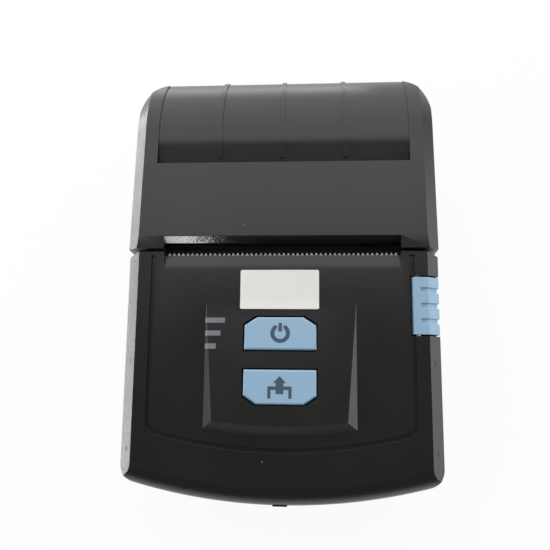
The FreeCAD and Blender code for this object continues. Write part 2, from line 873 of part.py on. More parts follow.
def paper_cover():
    body = piece("paper_cover")
    front = D.split_y + D.split_gap / 2
    ear = D.hinge_y - D.barrel_radius
    profile = [
        (front, D.seam_z), (ear, D.seam_z), (ear, D.hinge_z), (REAR, D.hinge_z), *up_the_rear(ZERO),
        (front, D.case_height),
    ]
    block = add(body, "X", -HALF, HALF, profile)
    bevel_edges(body, block, D.chamfer_width, D.chamfer_drop,
                lambda p, e: near(abs(p.x), HALF.value) and near(p.z, D.case_height.value))
    for side in SIDES:
        take(body, "Z", D.rear_corner_low, D.case_height, rear_corner_outline(side), lean=D.rear_corner_lean)
    # Hollow inside, narrower at the rear where the corners are rounded
    deep = D.hinge_z - 2 * PAST
    roof = D.case_height - D.cover_wall
    inner = HALF - D.cover_side
    take(body, "X", -inner, inner, rect(front - PAST, D.rear_side_y, deep, roof))
    inner = HALF - D.rear_side
    hollow = [(D.rear_y, deep), (REAR - D.cover_wall, deep), *up_the_rear(D.cover_wall)]
    take(body, "X", -inner, inner, hollow)
    # Roll bulge with three beads
    take(body, "X", -D.recess_half, D.recess_half, recess_outline())
    for step in (-1, 0, 1):
        middle = D.bead_spacing * step
        last = bead(body, middle - D.bead_half, middle + D.bead_half)
    round_edges(body, last, D.bead_round, lambda p, e: near(p.y, D.bead_front.value) and is_upright(e))
    # Hinge barrel, with its ends drawn in like the chamfer
    barrel = circle(D.hinge_y, D.hinge_z, D.barrel_radius)
    core = HALF - D.chamfer_width
    add(body, "X", -core, core, barrel)
    add(body, "X", core, HALF - D.chamfer_width / 3, barrel, lean=D.chamfer_lean)
    left_end(body, barrel, core)
    for low, high in mirrored(D.lug_inner - D.seam_gap, D.lug_outer + D.seam_gap):
        top = D.hinge_z + D.lug_radius + D.root_depth
        take(body, "X", low, high, rect(ear - PAST, REAR + PAST, ZERO, top))
    hole = circle(D.hinge_y, D.hinge_z, D.hinge_pin_radius + D.running_gap)
    for low, high in mirrored(D.pin_inner - D.seam_gap, D.pin_outer + D.seam_gap):
        take(body, "X", low, high, hole)
    # Front edge sloping down to the split, and the bevelled paper notch in it
    over = D.case_height + PAST
    fall = turn("tan", D.brow_slope)
    brow = [(D.notch_y, D.case_height), (D.notch_y, over), (front - PAST, over),
            (front - PAST, D.case_height - fall * (D.notch_y - front + PAST))]
    take(body, "X", -HALF - PAST, HALF + PAST, brow)
    slope = (D.notch_y - D.notch_low_y) / (D.case_height - D.notch_low_z)
    notch = [(front - PAST, D.notch_low_z), (D.notch_low_y, D.notch_low_z),
             (D.notch_low_y + slope * (over - D.notch_low_z), over), (front - PAST, over)]
    take(body, "X", -D.slot_half, D.slot_half, notch)
    return body


def left_end(body, barrel, core):
    """The barrel's left end, padded away from the middle."""
    sketch = new_sketch(body, "X", -core, [barrel])
    pad = body.newObject("PartDesign::Pad", "left_barrel_end")
    pad.Profile = sketch
    pad.Reversed = True
    pad.setExpression("Length", (D.chamfer_width * 2 / 3).text)
    pad.setExpression("TaperAngle", (-D.chamfer_lean).text)


def bead(body, low, high):
    """One raised bead that follows the bulge's floor over the rear."""
    crest = D.recess_shallow - D.bead_height
    rooted = 2 * D.recess_shallow
    foot = D.recess_end_z + D.root_depth
    beneath = bulge_floor(rooted, D.bead_front)[0]
    outline = [
        beneath, *bulge_floor(crest, D.bead_front), *down_the_rear(crest), (REAR - crest, foot),
        (REAR - rooted, foot), *up_the_rear(rooted),
    ]
    return add(body, "X", low, high, outline)


def hinge_pins():
    body = piece("hinge_pins")
    for low, high in mirrored(D.pin_inner, D.pin_outer):
        add(body, "X", low, high, circle(D.hinge_y, D.hinge_z, D.hinge_pin_radius))
    return body


def platen_carrier():
    body = piece("platen_carrier")
    ceiling = D.case_height - D.cover_wall
    under = ceiling - D.carrier_thick
    outer = D.cheek_outer
    add(body, "Z", under, ceiling, rect(-outer, outer, D.cheek_front, D.cheek_rear))
    for low, high in mirrored(D.cheek_inner, outer):
        add(body, "X", low, high, rect(D.cheek_front, D.cheek_rear, D.cheek_low, under))
    seat = circle(D.platen_y, D.platen_z, D.bush_collar + D.running_gap)
    take(body, "X", -outer, outer, seat)
    return body


# Trim on the front panel

def tear_bar():
    body = piece("tear_bar")
    low, high = D.blade_low, D.blade_low + D.blade_thick
    add(body, "Z", low, high, rect(-D.blade_half, D.blade_half, D.blade_front, D.tooth_root))
    start = -(D.tooth_pitch * D.tooth_count / 2)
    base = D.tooth_root - D.tooth_depth / 4
    tip = (start + D.tooth_pitch / 2, D.tooth_root + D.tooth_depth)
    first = add(body, "Z", low, high, [(start, base), (start + D.tooth_pitch, base), tip])
    doc.recompute()
    row = body.newObject("PartDesign::LinearPattern", "tooth_row")
    row.Originals = [first]
    axis = next(f for f in body.Origin.OriginFeatures if f.Role == "X_Axis")
    row.Direction = (axis, [""])
    row.setExpression("Length", (D.tooth_pitch * (D.tooth_count - 1)).text)
    row.setExpression("Occurrences", D.tooth_count.text)
    body.Tip = row
    return body


def button(label):
    rear, front, bevel_rear = BUTTONS[label]
    body = piece(label)
    top = D.plateau_z + D.button_proud
    cap = add(body, "Z", D.flange_high, top, button_outline(rear, front, bevel_rear, ZERO))
    round_edges(body, cap, D.button_edge, lambda p, e: near(p.z, top.value))
    grow = D.button_flange
    half = D.button_half + grow
    add(body, "Z", D.flange_low, D.flange_high, rect(-half, half, front - grow, rear + grow))
    add(body, "Z", D.stem_low, D.flange_low, circle(ZERO, (rear + front) / 2, D.stem_radius))
    return body


def indicator_lenses():
    """Three bars cut to the plateau's own surface, so that they lie flush with it."""
    body = piece("indicator_lenses")
    add(body, "Z", D.lens_low, D.plateau_z, *lens_outlines())
    wedge = turn("tan", D.plateau_lean)
    reach = 2 * PAST
    edge = -D.plateau_half
    outside = [(edge, 0), (edge + reach * wedge, reach), (edge - reach, reach), (edge - reach, 0)]
    take(body, "section", -PAST, D.case_length / 2, outside)
    return body


def blank_label():
    body = piece("blank_label")
    front = D.label_rear - D.label_depth
    thick = D.label_thick
    top = panel_at(D.label_rear)
    outline = [
        (front, D.plateau_z), (FOLD_Y, D.plateau_z), (D.label_rear, top),
        (D.label_rear, top + thick), (FOLD_Y, D.plateau_z + thick), (front, D.plateau_z + thick),
    ]
    add(body, "X", D.label_left, D.label_left + D.label_width, outline)
    return body


def release_lever():
    body = piece("release_lever")
    inner, edge = D.lever_inner, D.lever_edge
    pin_x, drop = D.lever_pin_x, D.lever_pin_drop
    hub = pin_x + D.lever_pin_radius * 2
    hub_low = -drop - D.lever_pin_radius * 2
    skirt_in = HALF - D.lever_wall
    knee = HALF - D.chamfer_width
    profile = [
        (inner, hub_low), (hub, hub_low), (hub, -D.lever_thick), (knee - D.dent_depth, -D.lever_thick),
        (skirt_in, -D.lever_thick - D.lever_wall), (skirt_in, -D.lever_skirt), (HALF, -D.lever_skirt),
        (HALF, -D.chamfer_drop), (knee, 0), (inner + edge, 0), (inner, -edge, edge, 1),
    ]
    start, end = D.lever_rear, D.lever_rear + D.lever_length
    add(body, "section", start, end, profile)
    take(body, "section", start, end, circle(pin_x, -drop, D.lever_pin_radius + D.running_gap))
    # Three finger dents across the top and the chamfer
    deep = D.dent_depth
    dent = [
        (D.dent_start, -deep), (knee - deep / 3, -deep), (HALF - deep, -D.chamfer_drop - deep / 2),
        (HALF - deep, -2 * D.chamfer_drop), (HALF + PAST, -2 * D.chamfer_drop), (HALF + PAST, PAST),
        (D.dent_start, PAST),
    ]
    for index in range(3):
        middle = D.dent_first + D.dent_pitch * index
        take(body, "section", middle - D.dent_width / 2, middle + D.dent_width / 2, dent)
    return body


def lever_pin():
    body = piece("lever_pin")
    low = D.lever_rear - D.lever_gap - D.lever_pin_seat
    high = D.lever_rear + D.lever_length + D.lever_gap + D.lever_pin_seat
    add(body, "section", low, high, circle(D.lever_pin_x, -D.lever_pin_drop, D.lever_pin_radius))
    return body


# Printing mechanism

def mechanism_frame():
    body = piece("mechanism_frame")
    inner, outer = D.frame_inner, D.frame_outer
    bridge = rect(-inner - D.frame_sheet / 2, inner + D.frame_sheet / 2, D.bridge_low, D.bridge_high)
    add(body, "Y", ZERO, D.frame_sheet, bridge)
    cheek = rect(D.frame_front, D.frame_rear, D.frame_base, D.frame_top)
    seat = D.bush_radius + D.hinge_gap
    lip = D.frame_rear - D.hinge_gap
    mouth = [
        (D.platen_y - seat, D.platen_z), (D.platen_y + seat, D.platen_z), (lip, D.frame_top),
        (lip, D.frame_top + PAST), (D.platen_y - seat, D.frame_top + PAST),
    ]
    for low, high in mirrored(inner, outer):
        add(body, "X", low, high, cheek)
        take(body, "X", low, high, circle(D.platen_y, D.platen_z, seat))
        take(body, "X", low, high, mouth)
    y, z = REDUCTION
    take(body, "X", -outer, -inner, circle(y, z, D.axle_radius))
    y, z = PINION
    take(body, "X", -outer, -inner, circle(y, z, D.motor_shaft_radius + D.screw_gap))
    # Paper guide across the top of the print head
    end = inner + D.frame_sheet / 2
    add(body, "X", -end, end, rect(D.guide_front, D.guide_rear, D.guide_low, D.guide_high))
    for x, y in frame_screw_points():
        side = 1 if x.value > 0 else -1
        low, high = sorted(((x - side * D.small_boss), inner * side), key=lambda size: size.value)
        foot = rect(low, high, y - D.small_boss, y + D.small_boss)
        add(body, "Z", D.frame_base, FLANGE_TOP, foot)
        take(body, "Z", D.frame_base, FLANGE_TOP, circle(x, y, D.small_screw_radius + D.screw_gap))
    return body


def print_head():
    body = piece("print_head")
    half = D.platen_half
    add(body, "X", -half, half, rect(D.head_y, D.head_y + D.head_thick, D.head_low, D.head_top))
    return body


def head_heat_sink():
    body = piece("head_heat_sink")
    half = D.platen_half + D.root_depth
    add(body, "X", -half, half, rect(D.head_y - D.sink_thick, D.head_y, D.head_low, D.head_top))
    return body


def head_springs():
    body = piece("head_springs")
    rear = D.head_y - D.sink_thick
    for side in SIDES:
        add(body, "Y", D.frame_sheet, rear, circle(D.spring_x * side, D.spring_z, D.spring_radius))
        take(body, "Y", D.frame_sheet, rear, circle(D.spring_x * side, D.spring_z, D.spring_bore))
    return body


def platen_roller():
    body = piece("platen_roller")
    add(body, "X", -D.platen_half, D.platen_half, circle(D.platen_y, D.platen_z, D.platen_radius))
    take(body, "X", -D.platen_half, D.platen_half, circle(D.platen_y, D.platen_z, D.core_radius))
    return body


def platen_shaft():
    body = piece("platen_shaft")
    add(body, "X", -D.platen_half, D.platen_half, circle(D.platen_y, D.platen_z, D.core_radius))
    add(body, "X", -D.gear_outer, D.journal_right, circle(D.platen_y, D.platen_z, D.journal_radius))
    return body


def platen_bushes():
    body = piece("platen_bushes")
    collar = circle(D.platen_y, D.platen_z, D.bush_collar)
    flange = circle(D.platen_y, D.platen_z, D.bush_radius)
    for low, high in mirrored(D.cheek_inner, D.bush_inner):
        add(body, "X", low, high, collar)
    for low, high in mirrored(D.bush_inner, D.bush_outer):
        add(body, "X", low, high, flange)
    bore = circle(D.platen_y, D.platen_z, D.journal_radius + D.running_gap)
    for low, high in mirrored(D.cheek_inner, D.bush_outer):
        take(body, "X", low, high, bore)
    return body


# Tooth form, in modules and degrees
ADDENDUM = 0.85
DEDENDUM = 1.2
PRESSURE_ANGLE = 20


def pitch_radius(teeth):
    return teeth * D.gear_module / 2


def down_from(place, distance, lean):
    """The point that lies a distance below a place, leaning to the front by an angle."""
    return place[0] - distance * turn("sin", lean), place[1] - distance * turn("cos", lean)


PLATEN = (D.platen_y, D.platen_z)
REDUCTION = down_from(PLATEN, pitch_radius(D.platen_teeth + D.reduction_teeth), D.reduction_lean)
PINION = down_from(REDUCTION, pitch_radius(D.reduction_teeth + D.pinion_teeth), D.pinion_lean)


def gear(label, teeth, bore, place, phase):
    """A spur gear about an axis along X; phase is its first gap's angle, from straight down to the rear."""
    body = piece(label)
    pitch = pitch_radius(teeth)
    module = D.gear_module
    root_radius = pitch - module * DEDENDUM
    tip = pitch + module * ADDENDUM
    width = D.gear_outer - D.gear_inner
    add(body, "Z", ZERO, width, circle(ZERO, ZERO, tip))
    # One tooth gap with straight flanks, a little wider than the teeth that run in it
    flank = math.tan(math.radians(PRESSURE_ANGLE))
    middle = module * math.pi / 4 + D.backlash / 2
    low = middle - (pitch - root_radius) * flank
    beyond = tip + module
    high = middle + (beyond - pitch) * flank
    space = [(root_radius, -low), (beyond, -high), (beyond, high), (root_radius, low)]
    gap = take(body, "Z", ZERO, width, space)
    doc.recompute()
    ring = body.newObject("PartDesign::PolarPattern", f"{label}_teeth")
    ring.Originals = [gap]
    axis = next(f for f in body.Origin.OriginFeatures if f.Role == "Z_Axis")
    ring.Axis = (axis, [""])
    ring.Angle = 360
    ring.setExpression("Occurrences", teeth.text)
    body.Tip = ring
    doc.recompute()
    take(body, "Z", ZERO, width, circle(ZERO, ZERO, bore))
    upright = FreeCAD.Rotation(FreeCAD.Vector(0, 1, 0), 90)
    body.Placement.Rotation = upright * FreeCAD.Rotation(FreeCAD.Vector(0, 0, 1), phase)
    body.setExpression("Placement.Base.x", (-D.gear_outer).text)
    body.setExpression("Placement.Base.y", place[0].text)
    body.setExpression("Placement.Base.z", place[1].text)
    return body


def platen_gear():
    return gear("platen_gear", D.platen_teeth, D.journal_radius, PLATEN, -D.reduction_lean.value)


def reduction_gear():
    """Its tooth points at the platen gear's gap, and it has a gap where the pinion's tooth comes."""
    towards_platen = 180 - D.reduction_lean.value
    half_step = 180 / D.reduction_teeth.value
    return gear("reduction_gear", D.reduction_teeth, D.axle_radius + D.running_gap, REDUCTION,
                towards_platen + half_step)


def motor_pinion():
    """Turned so that a tooth stands in the reduction gear's nearest gap."""
    step = 360 / D.reduction_teeth.value
    first_gap = 180 - D.reduction_lean.value + step / 2
    facing = -D.pinion_lean.value
    offset = (facing - first_gap) % step
    ratio = D.reduction_teeth.value / D.pinion_teeth.value
    half_step = 180 / D.pinion_teeth.value
    phase = facing + 180 + half_step + offset * ratio
    return gear("motor_pinion", D.pinion_teeth, D.motor_shaft_radius, PINION, phase)


def gear_axle():
    body = piece("gear_axle")
    add(body, "X", -D.gear_outer - D.seam_gap, -D.frame_inner, circle(*REDUCTION, D.axle_radius))
    return body


def stepper_motor():
    body = piece("stepper_motor")
    right = -D.frame_inner + D.motor_length
    add(body, "X", -D.frame_inner, right, circle(*PINION, D.motor_radius))
    bore = D.motor_shaft_radius + D.running_gap
    take(body, "X", -D.frame_inner, -D.frame_inner + D.motor_length / 2, circle(*PINION, bore))
    return body


def motor_shaft():
    body = piece("motor_shaft")
    inner = -D.frame_inner + D.motor_length / 3
    add(body, "X", -D.gear_outer, inner, circle(*PINION, D.motor_shaft_radius))
    return body


# Paper well

def paper_well():
    body = piece("paper_well")
    outer = D.well_radius + D.well_wall
    half = D.well_half + D.well_end
    add(body, "X", -half, half, circle(D.well_y, D.well_z, outer))
    take(body, "X", -D.well_half, D.well_half, circle(D.well_y, D.well_z, D.well_radius))
    wide = outer + PAST
    take(body, "X", -half, half, rect(D.well_y - wide, D.well_y + wide, D.well_top, D.well_top + wide))
    take(body, "X", -half, half, rect(D.well_rear, D.well_y + wide, D.foot_height, D.well_top))
    for low, high in mirrored(half, D.well_ear_x + D.small_boss):
        add(body, "Z", WELL_EAR_LOW, D.well_ear_top,
            rect(low, high, D.well_y - D.well_ear_half, D.well_y + D.well_ear_half))
    hole = D.small_screw_radius + D.screw_gap
    take(body, "Z", WELL_EAR_LOW, D.well_ear_top, *discs(well_screw_points(), hole))
    margin = D.screw_gap
    window = rect(D.sensor_front, D.sensor_rear + D.root_depth, D.sensor_low - margin, D.sensor_high + margin)
    reach = D.sensor_half + margin
    take(body, "X", D.sensor_x - reach, D.sensor_x + reach, window)
    return body


def paper_sensor():
    body = piece("paper_sensor")
    outline = rect(D.sensor_front, D.sensor_rear, D.sensor_low, D.sensor_high)
    add(body, "X", D.sensor_x - D.sensor_half, D.sensor_x + D.sensor_half, outline)
    return body


# Board, keys and power

def main_board():
    body = piece("main_board")
    half = D.board_half
    add(body, "Z", D.board_low, BOARD_TOP, rect(-half, half, D.board_front, D.board_rear))
    take(body, "Z", D.board_low, BOARD_TOP, *discs(board_screw_points(), D.small_screw_radius + D.screw_gap))
    return body


def key_switches():
    body = piece("key_switches")
    half = D.switch_half
    for rear, front, _ in BUTTONS.values():
        middle = (rear + front) / 2
        outline = rect(-half, half, middle - half, middle + half)
        add(body, "Z", BOARD_TOP, BOARD_TOP + D.switch_height, outline)
    return body


def status_leds():
    body = piece("status_leds")
    for bar in lens_outlines():
        middle = (bar[0][1] + bar[2][1]) / 2
        left = D.lens_left + D.led_length
        chip = rect(left, left + D.led_length, middle - D.led_height / 2, middle + D.led_height / 2)
        add(body, "Z", BOARD_TOP, BOARD_TOP + D.led_height, chip)
    return body


def flex_connector():
    body = piece("flex_connector")
    outline = rect(-D.plug_half, D.plug_half, D.plug_front, D.plug_rear)
    add(body, "Z", D.board_low - D.plug_height, D.board_low, outline)
    return body


def head_flex():
    """A flat cable from the print head's foot, forward under the frame's bridge and up to its connector."""
    body = piece("head_flex")
    thin = D.flex_thick / 2
    rear = D.head_y + D.head_thick / 2
    front = (D.plug_front + D.plug_rear) / 2
    bottom = D.flex_run_z
    large, small = D.flex_bend + thin, D.flex_bend - thin
    bend = D.flex_bend
    top_front = D.board_low - D.plug_height
    outline = [
        (rear + thin, D.head_low), (rear - thin, D.head_low), (rear - thin, bottom + bend),
        (rear - bend, bottom + thin, small, -1), (front + bend, bottom + thin),
        (front + thin, bottom + bend, small, -1), (front + thin, top_front), (front - thin, top_front),
        (front - thin, bottom + bend), (front + bend, bottom - thin, large, 1), (rear - bend, bottom - thin),
        (rear + thin, bottom + bend, large, 1),
    ]
    add(body, "X", -D.flex_half, D.flex_half, outline)
    return body


def charge_socket():
    body = piece("charge_socket")
    low, high = D.socket_y - D.socket_half, D.socket_y + D.socket_half
    top = BOARD_TOP + D.socket_height
    add(body, "X", -D.socket_outer, D.socket_depth - D.socket_outer, rect(low, high, BOARD_TOP, top))
    rim = D.flex_thick * 2
    mouth = rect(low + rim, high - rim, BOARD_TOP + rim, top - rim)
    take(body, "X", -D.socket_outer, D.socket_depth / 2 - D.socket_outer, mouth)
    return body


def battery_pack():
    body = piece("battery_pack")
    half = D.battery_half
    add(body, "Z", D.battery_low, D.battery_top, rect(-half, half, D.battery_front, D.battery_rear))
    return body


def battery_contacts():
    body = piece("battery_contacts")
    rear = D.battery_rear + D.contact_thick
    for step in (-1, 0, 1):
        middle = D.contact_pitch * step
        blade = rect(middle - D.contact_half, middle + D.contact_half, D.battery_rear, rear)
        add(body, "Z", D.contact_low, D.contact_high, blade)
    return body


def battery_door():
    body = piece("battery_door")
    half = D.door_half
    plate = bowed_outline(D.sole_chamfer, half, D.door_rear)
    corner = plate[1][1]
    add(body, "Z", D.door_low, D.door_high, plate)
    wide = half + D.tongue
    add(body, "Z", D.tongue_low, D.tongue_high, rect(-wide, wide, corner + PAST, D.door_rear))
    for index in range(3):
        middle = corner + D.grip_pitch * (index + 1)
        grip = rect(-half / 3, half / 3, middle - D.grip_depth, middle + D.grip_depth)
        take(body, "Z", D.door_low, D.door_low + D.grip_depth, grip)
    return body


# Fasteners and feet

def screws(label, points, head_low, head_high, shank_low, shank_high, radius, head_radius):
    body = piece(label)
    add(body, "Z", head_low, head_high, *discs(points, head_radius))
    add(body, "Z", shank_low, shank_high, *discs(points, radius))
    return body


def case_screws():
    return screws("case_screws", case_screw_points(), D.case_head_low, D.case_head_high, D.case_head_high,
                  D.case_screw_top, D.case_screw_radius, D.case_head_radius)


def small_screws(label, points, face, upward):
    """Small screws whose heads bear on a face; they point up or down."""
    if upward:
        return screws(label, points, face - D.small_head_height, face, face, face + D.small_screw_bite,
                      D.small_screw_radius, D.small_head_radius)
    return screws(label, points, face, face + D.small_head_height, face - D.small_screw_bite, face,
                  D.small_screw_radius, D.small_head_radius)


def rubber_feet():
    body = piece("rubber_feet")
    points = [(D.foot_x * side, y) for side in SIDES for y in (D.foot_front, D.foot_rear)]
    add(body, "Z", ZERO, D.foot_height, *discs(points, D.foot_radius))
    return body


def build():
    makers = [
        lower_case, upper_case, paper_cover, hinge_pins, platen_carrier, tear_bar, indicator_lenses,
        blank_label, release_lever, lever_pin, mechanism_frame, print_head, head_heat_sink, head_springs,
        platen_roller, platen_shaft, platen_bushes, platen_gear, reduction_gear, motor_pinion, gear_axle,
        stepper_motor, motor_shaft, paper_well, paper_sensor, main_board, key_switches, status_leds,
        flex_connector, head_flex, charge_socket, battery_pack, battery_contacts, battery_door, case_screws,
        rubber_feet,
    ]
    bodies = [maker() for maker in makers]
    bodies += [button(label) for label in BUTTONS]
    bodies.append(small_screws("frame_screws", frame_screw_points(), FLANGE_TOP, False))
    bodies.append(small_screws("board_screws", board_screw_points(), D.board_low, True))
    bodies.append(small_screws("well_screws", well_screw_points(), D.well_ear_top, False))
    doc.recompute()
    return bodies


def check(bodies):
    """Stops at a failed object or an empty or invalid shape."""
    failed = [o.Name for o in doc.Objects if "Invalid" in o.State or "Error" in o.State]
    failed += [b.Label for b in bodies if b.Shape.isNull() or not b.Shape.isValid()]
    if failed:
        raise RuntimeError(f"failed objects: {failed}")


def write(bodies):
    os.makedirs("parts", exist_ok=True)
    for body in bodies:
        body.Shape.exportStep(f"parts/{body.Label}.step")
        print(f"{body.Label}: {len(body.Shape.Solids)} solids, {body.Shape.Volume:.1f} mm3")


pieces = build()
check(pieces)
write(pieces)
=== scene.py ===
# %% [markdown]
# # A pocket receipt printer, dressed for its portrait
# The printer's pieces come from its engineering model at their true size, one object per piece.
# Loading that model first gives every later step a fixed frame: a finish or a new detail is placed by
# reading the sizes of the pieces around it. Sizes of pieces are written in millimetres, and MM turns
# them into Blender's metres. The lamps and the floor are placed in metres.

# %% Load the frame
import json
import math

import bpy
from mathutils import Matrix, Vector


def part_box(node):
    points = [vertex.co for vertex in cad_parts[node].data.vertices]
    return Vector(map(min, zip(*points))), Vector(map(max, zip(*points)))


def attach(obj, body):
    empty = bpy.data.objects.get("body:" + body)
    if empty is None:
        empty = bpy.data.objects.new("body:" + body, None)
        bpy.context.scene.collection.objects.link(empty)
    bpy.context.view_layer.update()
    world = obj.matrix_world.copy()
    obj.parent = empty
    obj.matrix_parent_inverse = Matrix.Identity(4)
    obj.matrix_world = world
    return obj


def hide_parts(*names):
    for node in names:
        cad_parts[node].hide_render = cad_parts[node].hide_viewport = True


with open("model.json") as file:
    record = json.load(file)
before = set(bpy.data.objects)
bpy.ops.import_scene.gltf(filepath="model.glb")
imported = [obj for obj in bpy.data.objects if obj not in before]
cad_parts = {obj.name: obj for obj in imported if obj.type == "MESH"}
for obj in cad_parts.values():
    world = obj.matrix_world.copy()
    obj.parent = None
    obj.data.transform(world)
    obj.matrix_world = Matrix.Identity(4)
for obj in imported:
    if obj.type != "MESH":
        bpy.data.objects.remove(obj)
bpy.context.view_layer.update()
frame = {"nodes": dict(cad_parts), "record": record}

MM = 0.001
NODES = frame["nodes"]
print("pieces in the frame:", len(NODES))

# %% [markdown]
# The portrait is taken from close above the control panel, leaning towards the rear and a little to
# the left. A camera can be aimed with a tracking constraint, but a plain place and two tilt angles
# are easier to read and to correct, so the camera is set with those. A lens a little longer than the
# sensor is wide keeps the near, wide look of the portrait.

# %% Camera
CAMERA_PLACE = Vector((8.45, -36.79, 191.75)) * MM
CAMERA_TILT = math.radians(13.21)
CAMERA_ROLL = math.radians(3.73)
SENSOR = 36.0
LENS = 39.27

camera_data = bpy.data.cameras.new("portrait_camera")
camera_data.lens = LENS
camera_data.sensor_width = SENSOR
camera_data.clip_start = MM
camera = bpy.data.objects.new("portrait_camera", camera_data)
bpy.context.scene.collection.objects.link(camera)
tilt = Matrix.Rotation(CAMERA_TILT, 4, "X") @ Matrix.Rotation(CAMERA_ROLL, 4, "Y")
camera.matrix_world = Matrix.Translation(CAMERA_PLACE) @ tilt
bpy.context.scene.camera = camera
bpy.context.scene.view_settings.view_transform = "Standard"
print("camera height above the floor:", round(CAMERA_PLACE.z / MM, 1), "mm")

# %% [markdown]
# The printer lies on a white sheet. The sheet is a plain plane whose material shows the camera and
# mirror-like surfaces an even white, mixed with a little real shading, so that a soft shadow stays
# around the case.

# %% Floor
FLOOR_SIZE = 12.0
FLOOR_WHITE = 0.9
FLOOR_GLOW = 1.0
FLOOR_SHADE = 0.07
FLOOR_ROUGH = 0.9


def floor_material():
    material = bpy.data.materials.new("white_sheet")
    material.use_nodes = True
    nodes, links = material.node_tree.nodes, material.node_tree.links
    paper = nodes["Principled BSDF"]
    paper.inputs["Base Color"].default_value = (FLOOR_WHITE, FLOOR_WHITE, FLOOR_WHITE, 1)
    paper.inputs["Roughness"].default_value = FLOOR_ROUGH
    glow = nodes.new("ShaderNodeEmission")
    glow.inputs["Strength"].default_value = FLOOR_GLOW
    path = nodes.new("ShaderNodeLightPath")
    mirrored = nodes.new("ShaderNodeMath")
    mirrored.operation = "MAXIMUM"
    links.new(path.outputs["Is Glossy Ray"], mirrored.inputs[0])
    links.new(path.outputs["Is Transmission Ray"], mirrored.inputs[1])
    seen = nodes.new("ShaderNodeMath")
    seen.operation = "MAXIMUM"
    links.new(path.outputs["Is Camera Ray"], seen.inputs[0])
    links.new(mirrored.outputs[0], seen.inputs[1])
    share = nodes.new("ShaderNodeMath")
    share.operation = "MULTIPLY"
    share.inputs[1].default_value = 1 - FLOOR_SHADE
    links.new(seen.outputs[0], share.inputs[0])
    mix = nodes.new("ShaderNodeMixShader")
    links.new(share.outputs[0], mix.inputs["Fac"])
    links.new(paper.outputs[0], mix.inputs[1])
    links.new(glow.outputs[0], mix.inputs[2])
    links.new(mix.outputs[0], nodes["Material Output"].inputs["Surface"])
    return material


bpy.ops.object.select_all(action="DESELECT")
bpy.ops.mesh.primitive_plane_add(size=FLOOR_SIZE)
floor = bpy.context.object
floor.name = "white_sheet"
floor.data.materials.append(floor_material())
print("floor:", FLOOR_SIZE, "m across")

# %% [markdown]
# Satin black plastic is drawn by what it mirrors. A wide softbox behind and above the printer gives
# the level cover its mid grey, while the panel, which tips towards the viewer, mirrors the dim room
# and stays dark. A strip near the horizon and a tube below it, behind the printer, light the rear
# bend. A panel on each side brings pale pieces up to their written colours and draws the edges, and a
# tube that lies lower than the case's top bleaches the left chamfer without reaching the panel.
# Nothing wide stands in front, so the front rounding stays black; one narrow spot there reaches into
# the paper notch, whose bevel faces away from every other lamp.

# %% Lights
def hang_lamp(light, place, aim):
    lamp = bpy.data.objects.new(light.name, light)
    bpy.context.scene.collection.objects.link(lamp)
    lamp.location = place
    lamp.rotation_euler = (Vector(aim) - Vector(place)).to_track_quat("-Z", "Y").to_euler()
    print(light.name, "at", place, round(light.energy, 3), "W")


def softbox(name, place, aim, width, height, power):
    light = bpy.data.lights.new(name, "AREA")
    light.shape = "RECTANGLE"
    light.size = width
    light.size_y = height
    light.energy = power
    hang_lamp(light, place, aim)


PRINTER_MIDDLE = (0, 0, 0.04)
REAR_TUBE_HEIGHT = 0.018
LEFT_TUBE_HEIGHT = 0.01
softbox("rear_softbox", (0.0, 0.73, 0.81), PRINTER_MIDDLE, width=1.8, height=1.2, power=11.9)
softbox("rear_strip", (-0.25, 0.72, 0.14), PRINTER_MIDDLE, width=1.4, height=0.28, power=1.6)
softbox("left_panel", (-0.62, 0.10, 0.27), PRINTER_MIDDLE, width=0.8, height=0.40, power=2.5)
softbox("right_panel", (0.62, -0.05, 0.20), PRINTER_MIDDLE, width=0.68, height=0.36, power=2.0)
softbox("rear_tube", (-0.17, 0.14, REAR_TUBE_HEIGHT), (-0.17, 0, REAR_TUBE_HEIGHT),
        width=0.4, height=0.034, power=0.075)
softbox("left_tube", (-0.25, 0.06, LEFT_TUBE_HEIGHT), (0, 0.06, LEFT_TUBE_HEIGHT),
        width=0.36, height=0.018, power=0.5)

NOTCH_LEFT = (-0.024, 0.007, 0.043)
NOTCH_SPOT = (-0.07, -0.24, 0.27)
SPOT_POWER = 2.8
SPOT_CONE = math.radians(4.2)
SPOT_BLEND = 0.7
SPOT_SOFT = 0.01
spot_light = bpy.data.lights.new("notch_spot", "SPOT")
spot_light.energy = SPOT_POWER
spot_light.spot_size = SPOT_CONE
spot_light.spot_blend = SPOT_BLEND
spot_light.shadow_soft_size = SPOT_SOFT
hang_lamp(spot_light, NOTCH_SPOT, NOTCH_LEFT)

WORLD_LEVEL = 0.2
world = bpy.data.worlds.new("dim_room")
bpy.context.scene.world = world
world.use_nodes = True
backdrop = world.node_tree.nodes["Background"]
backdrop.inputs["Color"].default_value = (1.0, 1.0, 1.0, 1)
backdrop.inputs["Strength"].default_value = WORLD_LEVEL

# %% [markdown]
# Several finishes share the same small effects, so each effect is one node group that is built once
# and placed in every material that needs it. These helpers shorten the building: one makes an empty
# group with named sockets, one adds a node, and one joins two values with an arithmetic node.

# %% Node helpers
def new_group(name, inputs, outputs):
    group = bpy.data.node_groups.new(name, "ShaderNodeTree")
    for label, value in inputs:
        socket = group.interface.new_socket(label, in_out="INPUT", socket_type="NodeSocketFloat")
        socket.default_value = value
    for label in outputs:
        group.interface.new_socket(label, in_out="OUTPUT", socket_type="NodeSocketFloat")
    given = group.nodes.new("NodeGroupInput").outputs
    result = group.nodes.new("NodeGroupOutput").inputs
    return group, given, result


def node(tree, kind, **settings):
    made = tree.nodes.new("ShaderNode" + kind)
    for key, value in settings.items():
        setattr(made, key, value)
    return made


def feed(tree, socket, value):
    if isinstance(value, bpy.types.NodeSocket):
        tree.links.new(value, socket)
    else:
        socket.default_value = value


